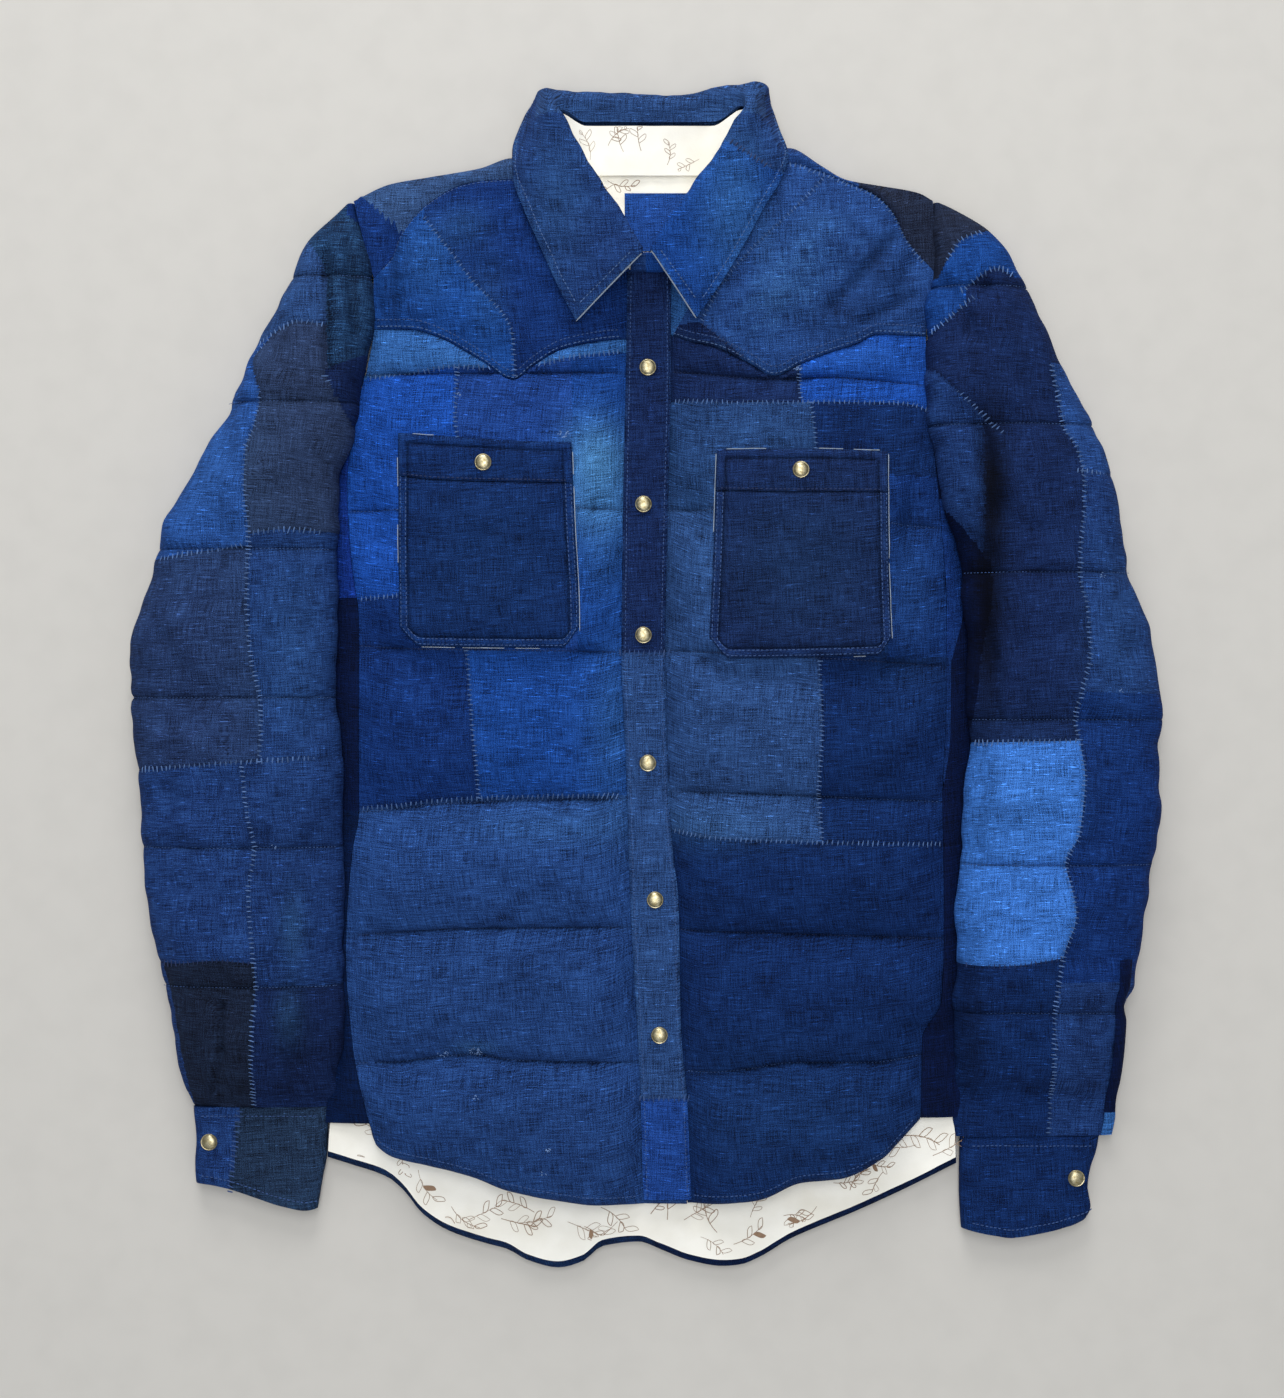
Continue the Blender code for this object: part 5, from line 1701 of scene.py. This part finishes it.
def cuff_ring(side, share, turn, width, low, high):
    """Points of a cuff's outer or inner face; share runs from its seam to its open end."""
    outer, inner, end = (cuffs[side][key] for key in ("outer", "inner", "end"))
    top = SLEEVE_ENDS[side][0] - GAP
    over, up = np.cos(turn), np.sin(turn)
    y = top + 0 * share * turn
    for _ in range(5):
        half = 0.5 * (inner(y) - outer(y))
        half = half - np.sign(half) * width
        x = 0.5 * (inner(y) + outer(y)) - half * np.sign(over) * abs(over) ** 0.6
        y = top + (end(x) - top) * share
    height = 0.5 + 0.5 * np.sign(up) * np.minimum(1.0, 1.2 * abs(up) ** 0.6)
    return points_at(x, y, low + (high - low) * height)


def cuff_face(x, y):
    """Wrinkled upper face of a cuff."""
    return CUFF_HEIGHT + 0.35 * ripples(x, y, 15, 81) + 0.2 * ripples(x, y * 0.5, 8, 82)


def make_cuff(side):
    """Cuff: a flat tube, open at its end."""
    name, end, inset = "cuff_" + side, cuffs[side]["end"], CUFF_STITCH * TOWARD[side]
    turn, share = np.meshgrid(np.linspace(0, 2 * np.pi, 96, endpoint=False),
                              np.linspace(0, 1, round(CUFF_LENGTH / step)))
    from_top, from_end = share * CUFF_LENGTH, (1 - share) * CUFF_LENGTH
    outer = cuff_ring(side, share, turn, 0.0, 0.0, CUFF_HEIGHT)
    edge = hump(from_end, 2.2) + hump(from_top, 2.0)
    groove = hump(from_end - CUFF_STITCH, CUFF_GROOVE) + hump(from_top - CUFF_STITCH, CUFF_GROOVE)
    relief = cuff_face(outer[..., 0], outer[..., 1]) - CUFF_HEIGHT - 1.6 * edge - 0.4 * groove
    outer[..., 2] += np.where(np.sin(turn) > 0.05, relief, 0.8 * edge)
    inner = cuff_ring(side, share, turn, 4.0, 6.7, 8.3)
    faces = grid_faces(turn.shape, closed=True)
    faces += turned_over(faces, turn.size)
    for start in (0, turn.size - turn.shape[1]):
        ring = list(range(start, start + turn.shape[1]))
        faces += [[a, b, turn.size + b, turn.size + a] for a, b in around(ring)]
    mesh = new_mesh(name, np.concatenate([outer, inner]), faces)
    tidy_normals(mesh)
    dress(mesh, PATCHWORK[name], worn=lambda x, y, z: 0.3 * np.exp(-abs(y - end(x)) / 3))
    put(name, mesh, CLOTH)
    top = SLEEVE_ENDS[side][0] - GAP
    xs = np.linspace(cuffs[side]["outer"](top) + inset, cuffs[side]["inner"](top) - inset, 40)

    def face(x, y):
        return cuff_face(x, y) + 0.05

    sew_edge(face, [(x, end(x) + CUFF_STITCH) for x in xs], BLUE_THREAD, 41)
    sew_edge(face, [(x, top - CUFF_STITCH) for x in xs], BLUE_THREAD, 42)
    sew_patches(name, face, BLUE_THREAD)


# Collar

def side_section(fold, edge):
    """Section of a collar leaf beside the neck, from the stand over the fold to the free edge."""
    fold, edge, up = Vector(fold), Vector(edge), Vector((0, 0, 1))
    outward = Vector((edge.x - fold.x, edge.y - fold.y, 0)).normalized()
    return [fold - 9 * up, fold - 2.5 * up, fold + 3.5 * outward + 0.5 * up,
            fold.lerp(edge, 0.5) + 2.5 * up, edge]


def back_section(x):
    """Section of the collar behind the neck, where it lies on the ground."""
    seam, fold = COLLAR_BACK_SEAM, COLLAR_BACK_FOLD + curve(BACK_WAVE)(x)
    return [Vector((x, seam, 17.6)), Vector((x, fold - 7, 20.5)), Vector((x, fold, 12.5)),
            Vector((x, fold - 7, 3.2)), Vector((x, seam - 20, 1.8))]


def collar_sections():
    """Sections of the collar from its right front edge round the neck to the left one."""
    runs = {side: [side_section(fold, edge) for fold, edge in zip(COLLAR_FOLDS[side], COLLAR_EDGES[side])]
            for side in SIDES}
    corners = {side: [Vector(p) for p in COLLAR_CORNERS[side]] for side in SIDES}
    back = [back_section(x) for x in COLLAR_BACK_X]
    return runs["right"] + [corners["right"]] + back + [corners["left"]] + runs["left"][::-1]


def surface_grid(sections, along, over):
    """Points of a smooth surface through sections, at shares along them and over each one."""
    points = np.array([[tuple(point) for point in section] for section in sections])
    for shares in (along, over):
        at = shares * (len(points) - 1)
        columns = points.reshape(len(points), -1).T
        points = np.stack([curve(list(enumerate(column)))(at) for column in columns], -1)
        points = points.reshape(len(at), -1, 3).swapaxes(0, 1)
    return points


def grid_normals(points):
    """Normals of a surface given by a grid of points."""
    return unit(np.cross(np.gradient(points, axis=0), np.gradient(points, axis=1)))


def edge_distance(points):
    """Distance of each grid point to the first and last row, then to the first and last column."""
    found = []
    for axis in (0, 1):
        steps = np.linalg.norm(np.diff(points, axis=axis), axis=2)
        run = np.insert(steps.cumsum(axis), 0, 0, axis)
        found += [run, run.take([-1], axis) - run]
    return found


def leaf_edge(x, y):
    """Distance in plan to the free edges of the collar's leaves."""
    nearest = np.full(np.shape(x), APART)
    for side in SIDES:
        edge = [COLLAR_FOLDS[side][0]] + list(COLLAR_EDGES[side])
        for a, b in zip(edge, edge[1:]):
            nearest = np.minimum(nearest, to_line(x, y, (a[:2], b[:2])))
    return nearest


def make_collar():
    """Collar leaf, folded round the neck, with its stitches and the piping at its ends."""
    along = np.linspace(0, 1, 170)
    over = np.linspace(0, 1, 44)
    middle = surface_grid(collar_sections(), along, over)
    normal = grid_normals(middle)
    if normal[len(along) // 8, len(over) // 2, 2] < 0:
        normal = -normal
    start, finish, inner, outer = edge_distance(middle)
    border = np.minimum(np.minimum(start, finish), outer)
    thick = 0.5 * COLLAR_WALL * (0.35 + 0.65 * rounded(border, 2.2))
    relief = bumps("collar", middle[..., 0], middle[..., 1]) * np.minimum(1, border / 6)
    relief = relief - 0.4 * hump(border - COLLAR_STITCH, 0.9)
    upper = middle + normal * (thick + relief)[..., None]
    mesh = two_faces("collar", upper, middle - normal * thick[..., None])
    # Wear along the leaves' free edges, and painted shade in the groove of the topstitching
    dress(mesh, PATCHWORK["collar"], worn=lambda x, y, z: 0.9 * hump(leaf_edge(x, y), 1.6),
          shade=lambda x, y: 1 - 0.3 * hump(leaf_edge(x, y) - COLLAR_STITCH, 1.2))
    piece = put("collar", mesh, CLOTH)

    raised = upper + 0.15 * normal
    pick = np.arange(len(along))
    columns = abs(outer - COLLAR_STITCH).argmin(1)
    keep = (start[:, 0] > 6) & (finish[:, 0] > 6)
    sew("edge_stitches", raised[pick, columns][keep], normal[pick, columns][keep], "running",
        COLLAR_THREAD, 51)
    for seed, line in ((52, start), (53, finish)):
        row = abs(line[:, -6] - COLLAR_STITCH).argmin()
        ends = (outer[row] > 6) & (inner[row] > 14)
        sew("edge_stitches", raised[row][ends], normal[row][ends], "running", COLLAR_THREAD, seed)
    leaf = upper[:, len(over) // 2:].reshape(-1, 3)

    def leaf_face(x, y):
        near = [((leaf[:, :2] - place) ** 2).sum(1).argmin() for place in zip(x, y)]
        return leaf[near, 2]

    sew_line("patch_stitches", leaf_face, PATCHWORK["collar"]["lines"]["join"], "zigzag", DARK_THREAD, 58)
    below = np.array([0.0, -0.55, -1.2])
    parts = [tube(middle[row, len(over) // 3:] + below, 0.55) for row in (0, -1)]
    put_together("collar_piping", parts, PIPING)


def make_stand():
    """Collar stand with its lining; tells where its visible face lies."""
    feet = []
    for section in collar_sections()[1:-1]:
        rise = (section[1] - section[0]).normalized()
        top = section[0] - STAND_GAP * rise
        behind = max(0.0, top.y - STAND_SEAM)
        foot = Vector((top.x * (1 - STAND_SLOPE * behind), top.y - behind, STAND_FOOT))
        feet.append([foot, foot.lerp(top - 4 * rise, 0.7), top])
    middle = surface_grid(feet, np.linspace(0, 1, 110), np.linspace(0, 1, 18))
    normal = grid_normals(middle)
    relief = 0.3 * ripples(middle[..., 0], middle[..., 2], 14, 95)
    above = normal * (0.5 * STAND_WALL + relief)[..., None]
    mesh = two_faces("collar_stand", middle + above, middle - normal * (0.5 * STAND_WALL - relief)[..., None])
    piece = put("collar_stand", mesh, CREAM)
    return middle + above * np.where(normal[..., 2:] < 0, -1, 1)


def make_stand_end():
    """Overlapped ends of the stand at the throat."""
    left, right, low, high = STAND_END
    x, y = plan_grid((level(left), level(right)), (level(low), level(high)), 0.9)
    z = 29.6 + (y - 281.6) * 0.8
    edge = np.minimum(np.minimum(x - left, right - x), np.minimum(y - low, high - y))
    lap = 0.9 / (1 + np.exp(-(x - 1.5) / 0.4))
    upper = points_at(x, y, z - 1.2 * (1 - rounded(edge, 1.6)) - lap)
    mesh = two_faces("stand_end", upper, points_at(x, y, z - 5.0))
    dress(mesh, PATCHWORK["collar"])
    piece = put("stand_end", mesh, CLOTH)


# Back and linings

def make_back():
    """Back with its shirt-tail hem, and the back yoke; the underside lies on the ground."""
    work = PATCHWORK["back"]
    for name, lines in (("back_panel", (back_hem, level(205))), ("back_yoke", (level(205.3), shoulder_line))):
        x, y = plan_grid((body_edge["right"], body_edge["left"]), lines, 4.6)
        on = snap(x, y, list(work["lines"].values()))
        edge = np.minimum(x - body_edge["right"](y), body_edge["left"](y) - x)
        edge = np.minimum(edge, y - back_hem(x) if name == "back_panel" else shoulder_line(x) - y)
        roll = 3.4 * (1 - rounded(edge, 7))
        lift = 2.2 * (1 - puff(y, (-400,) + BODY_LINES + (400,))) ** 2 + roll
        upper = points_at(x, y, BACK_WALL - roll - LINING_SEAT * (edge > HEM_RIM))
        mesh = two_faces(name, upper, points_at(x, y, lift), on)
        # Painted shade on the rolled rim of the back hem
        dress(mesh, work, shade=lambda x, y: 1 - 0.72 * hump(np.clip(y - back_hem(x) - 3, 0, APART), 6))
        put(name, mesh, CLOTH)


def lining_face(x, y):
    """Upper face of the linings."""
    return LINING_TOP + bumps("lining", x, y)


def make_linings():
    """Linings that show at the back hem and inside the neck, and the patch sewn there."""
    for name, sides, lines, flat, under in (
            ("hem_lining", (moved(body_edge["right"], SIDE_RIM), moved(body_edge["left"], -SIDE_RIM)),
             (moved(back_hem, HEM_EDGE), moved(back_hem, HEM_RIM + HEM_BAND)), (0.425, 0.052), "back_panel"),
            ("neck_lining", (level(-58.0), level(58.0)), (level(268.0), moved(shoulder_line, -0.8)),
             (0.116, 0.086), "back_yoke")):
        x, y = plan_grid(sides, lines, 2.6)
        upper = points_at(x, y, np.minimum(lining_face(x, y), FRONT_UNDER - 0.05))
        piece = put(name, two_faces(name, upper, points_at(x, y, 0 * x + 9.3)), CREAM)
    left, low, high = NECK_PATCH
    x, y = plan_grid((level(left), curve(NECK_PATCH_EDGE)), (level(low), level(high)))
    edge = np.minimum(np.minimum(x - left, high - y), y - low)
    upper = points_at(x, y, LINING_TOP + 1.5 - 0.5 * hump(edge - 2.5, 0.8))
    mesh = two_faces("neck_patch", upper, points_at(x, y, 0 * x + LINING_TOP + 0.3))
    dress(mesh, PATCHWORK["neck_patch"])
    piece = put("neck_patch", mesh, CLOTH)


def sprig(x, y, turn, size, rng):
    """Plain drawn motif: a bent stem with leaves on both sides, as plan polylines."""
    bend = rng.uniform(-0.6, 0.6)
    lines = [[(s * size, bend * size * (s * s - s)) for s in np.linspace(0, 1, 9)]]
    shares = np.linspace(0, 1, 6)
    for k, s in enumerate((0.25, 0.45, 0.65, 0.85)):
        way, leaf = (1 if k % 2 else -1), 0.3 * size
        base_x, base_y = s * size, bend * size * (s * s - s)
        outline = [(t, 0.8 * t + 0.35 * bulge * math.sin(math.pi * t))
                   for bulge, ts in ((1, shares), (-1, shares[::-1])) for t in ts]
        lines.append([(base_x + leaf * along, base_y + way * leaf * aside) for along, aside in outline])
    c, s = math.cos(turn), math.sin(turn)
    return [[(x + c * px - s * py, y + s * px + c * py) for px, py in line] for line in lines]


def blot(outline, surface):
    """Leaf of a motif, filled with colour."""
    path, normals = lay(surface, outline, 1.0)
    return path + normals * 0.14, [list(range(len(path)))]


def ribbon(line, surface, width):
    """Flat drawn line on a surface."""
    path, normals = lay(surface, line, 1.2)
    side = unit(np.cross(normals, np.gradient(path, axis=0))) * width / 2
    raised = path + normals * 0.12
    points = np.stack([raised - side, raised + side], 1).reshape(-1, 3)
    return points, [[2 * k, 2 * k + 1, 2 * k + 3, 2 * k + 2] for k in range(len(path) - 1)]


def grid_face(points):
    """Height of a surface that is given by a grid of points."""
    places = points.reshape(-1, 3)

    def top(x, y):
        away = (np.asarray(x)[:, None] - places[:, 0]) ** 2 + (np.asarray(y)[:, None] - places[:, 1]) ** 2
        near = np.argpartition(away, 6, axis=1)[:, :6]
        weight = 1 / (np.take_along_axis(away, near, 1) + 0.4)
        return (weight * places[near, 2]).sum(1) / weight.sum(1)

    return top


def make_print(stand):
    """Generic sprigs printed on the linings."""
    rng = np.random.default_rng(2024)
    parts = []
    inner = grid_face(stand)
    for x in np.arange(-40, 44, 13.0):
        for line in sprig(x + rng.uniform(-3, 3), rng.uniform(354, 378), rng.uniform(0, 2 * np.pi),
                          rng.uniform(14, 22), rng):
            inside = [(px, py) for px, py in line if -48 < px < 50 and 351.5 < py < 382]
            if len(inside) > 3:
                parts.append(ribbon(inside, inner, rng.uniform(0.22, 0.4)))
    spots = [(x, back_hem(x) + rng.uniform(12, 40)) for x in np.arange(-204, 208, 11.5)]
    spots += [(rng.uniform(-48, 40), rng.uniform(336, 348)) for _ in range(12)]
    for x, y in spots:
        for line in sprig(x, y, rng.uniform(0, 2 * np.pi), rng.uniform(16, 30), rng):
            inside = [(px, py) for px, py in line if (back_hem(px) + 8 < py < back_hem(px) + 52)
                      or (-56 < px < 56 and 338 < py < shoulder_line(px) - 3)]
            if len(inside) > 3:
                parts.append(ribbon(inside, lining_face, rng.uniform(0.25, 0.5)))
                if len(inside) == len(line) == 12 and rng.random() < 0.13:
                    parts.append(blot(line, lining_face))
    put_together("lining_print", parts, INK)


# Frayed places

def make_frays():
    """Short broken threads round small holes and knots of lint."""
    rng = np.random.default_rng(77)
    for x, y, reach, count in FRAYS:
        side = "right" if x < 0 else "left"
        surface = front_face[side] if abs(x) < 210 else sleeve_face(side)
        for _ in range(count):
            turn, away = rng.uniform(0, 2 * np.pi), reach * rng.uniform(0.35, 1)
            middle_x, middle_y = x + away * math.cos(turn), y + 0.7 * away * math.sin(turn)
            lean = rng.uniform(0, np.pi)
            dx, dy = 1.6 * math.cos(lean), 1.6 * math.sin(lean)
            ends = [(middle_x - dx, middle_y - dy), (middle_x + dx, middle_y + dy)]
            sew_line("frayed_threads", surface, ends, "fine", FRAY_THREAD, int(rng.integers(1e6)))


# Snaps

def make_snap(name, x, y, z):
    """Domed cap with a rolled rim, turned from its profile."""
    turns = np.linspace(0, 2 * np.pi, 40, endpoint=False)
    points = [(x, y, z)]
    for share, height in SNAP_PROFILE:
        radius = SNAP_RADIUS * share
        points += [(x + radius * math.cos(t), y + radius * math.sin(t), z + height) for t in turns]
    points.append((x, y, z + SNAP_RISE))
    faces = [[1 + v for v in face] for face in grid_faces((len(SNAP_PROFILE), len(turns)), closed=True)]
    last = 1 + (len(SNAP_PROFILE) - 1) * len(turns)
    ring = list(range(len(turns)))
    faces += [[0, 1 + b, 1 + a] for a, b in around(ring)]
    faces += [[len(points) - 1, last + a, last + b] for a, b in around(ring)]
    mesh = new_mesh(name, points, faces)
    tidy_normals(mesh)
    put(name, mesh, BRASS, sharp=40)


def make_snaps():
    """All ten snaps, each on the foot of its solid."""
    places = [("placket_snap_%d" % k, x, y) for k, (x, y) in enumerate(BAND_SNAPS, 1)]
    places += [("pocket_snap_" + side, *POCKET_SNAPS[side]) for side in SIDES]
    places += [("cuff_snap_" + side, *CUFF_SNAPS[side]) for side in SIDES]
    for name, x, y in places:
        make_snap(name, x, y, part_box(name)[0][2] / MM)


# The scene

def show(name, data, place=(0, 0, 0)):
    """New object of the scene, at a place in metres."""
    shown = bpy.data.objects.new(name, data)
    shown.location = place
    bpy.context.scene.collection.objects.link(shown)
    return shown


def make_stage():
    """Pale floor, soft light from the collar's end, and the camera straight above."""
    mesh = bpy.data.meshes.new("floor")
    corners = ((-1, -1), (1, -1), (1, 1), (-1, 1))
    mesh.from_pydata([(FLOOR_HALF * x, FLOOR_HALF * y, FLOOR_TOP) for x, y in corners], [], [(0, 1, 2, 3)])
    mesh.materials.append(plain_nodes("pale_floor", (0.58, 0.56, 0.525), 40, 0.85, 0.97))
    show("floor", mesh)
    for name, place, size, power in LAMPS:
        light = bpy.data.lights.new(name, "AREA")
        light.energy = power
        light.shape = "RECTANGLE"
        light.size, light.size_y = size
        lamp = show(name, light, place)
        lamp.rotation_euler = (Vector((0, 0, 0.02)) - Vector(place)).to_track_quat("-Z", "Y").to_euler()
    world = bpy.data.worlds.new("studio")
    world.use_nodes = True
    sky = world.node_tree.nodes["Background"]
    sky.inputs["Color"].default_value = (0.9, 0.95, 1.0, 1)
    sky.inputs["Strength"].default_value = 0.34
    bpy.context.scene.world = world
    bpy.context.scene.view_settings.view_transform = "Standard"
    camera = bpy.data.cameras.new("camera")
    camera.sensor_width = 36
    camera.lens = CAMERA_HEIGHT * camera.sensor_width / FRAME_MM
    bpy.context.scene.camera = show("camera", camera, Vector((*CAMERA_PLACE, CAMERA_HEIGHT)) * MM)


make_stage()
make_back()
make_linings()
for side in SIDES:
    make_front(side)
    make_yoke(side)
    make_shoulder(side)
    make_side(side)
    make_pocket(side)
    make_sleeve(side)
    make_cuff(side)
make_band()
make_piping()
make_vent()
make_collar()
make_print(make_stand())
make_stand_end()
make_snaps()
make_frays()
make_stitches()
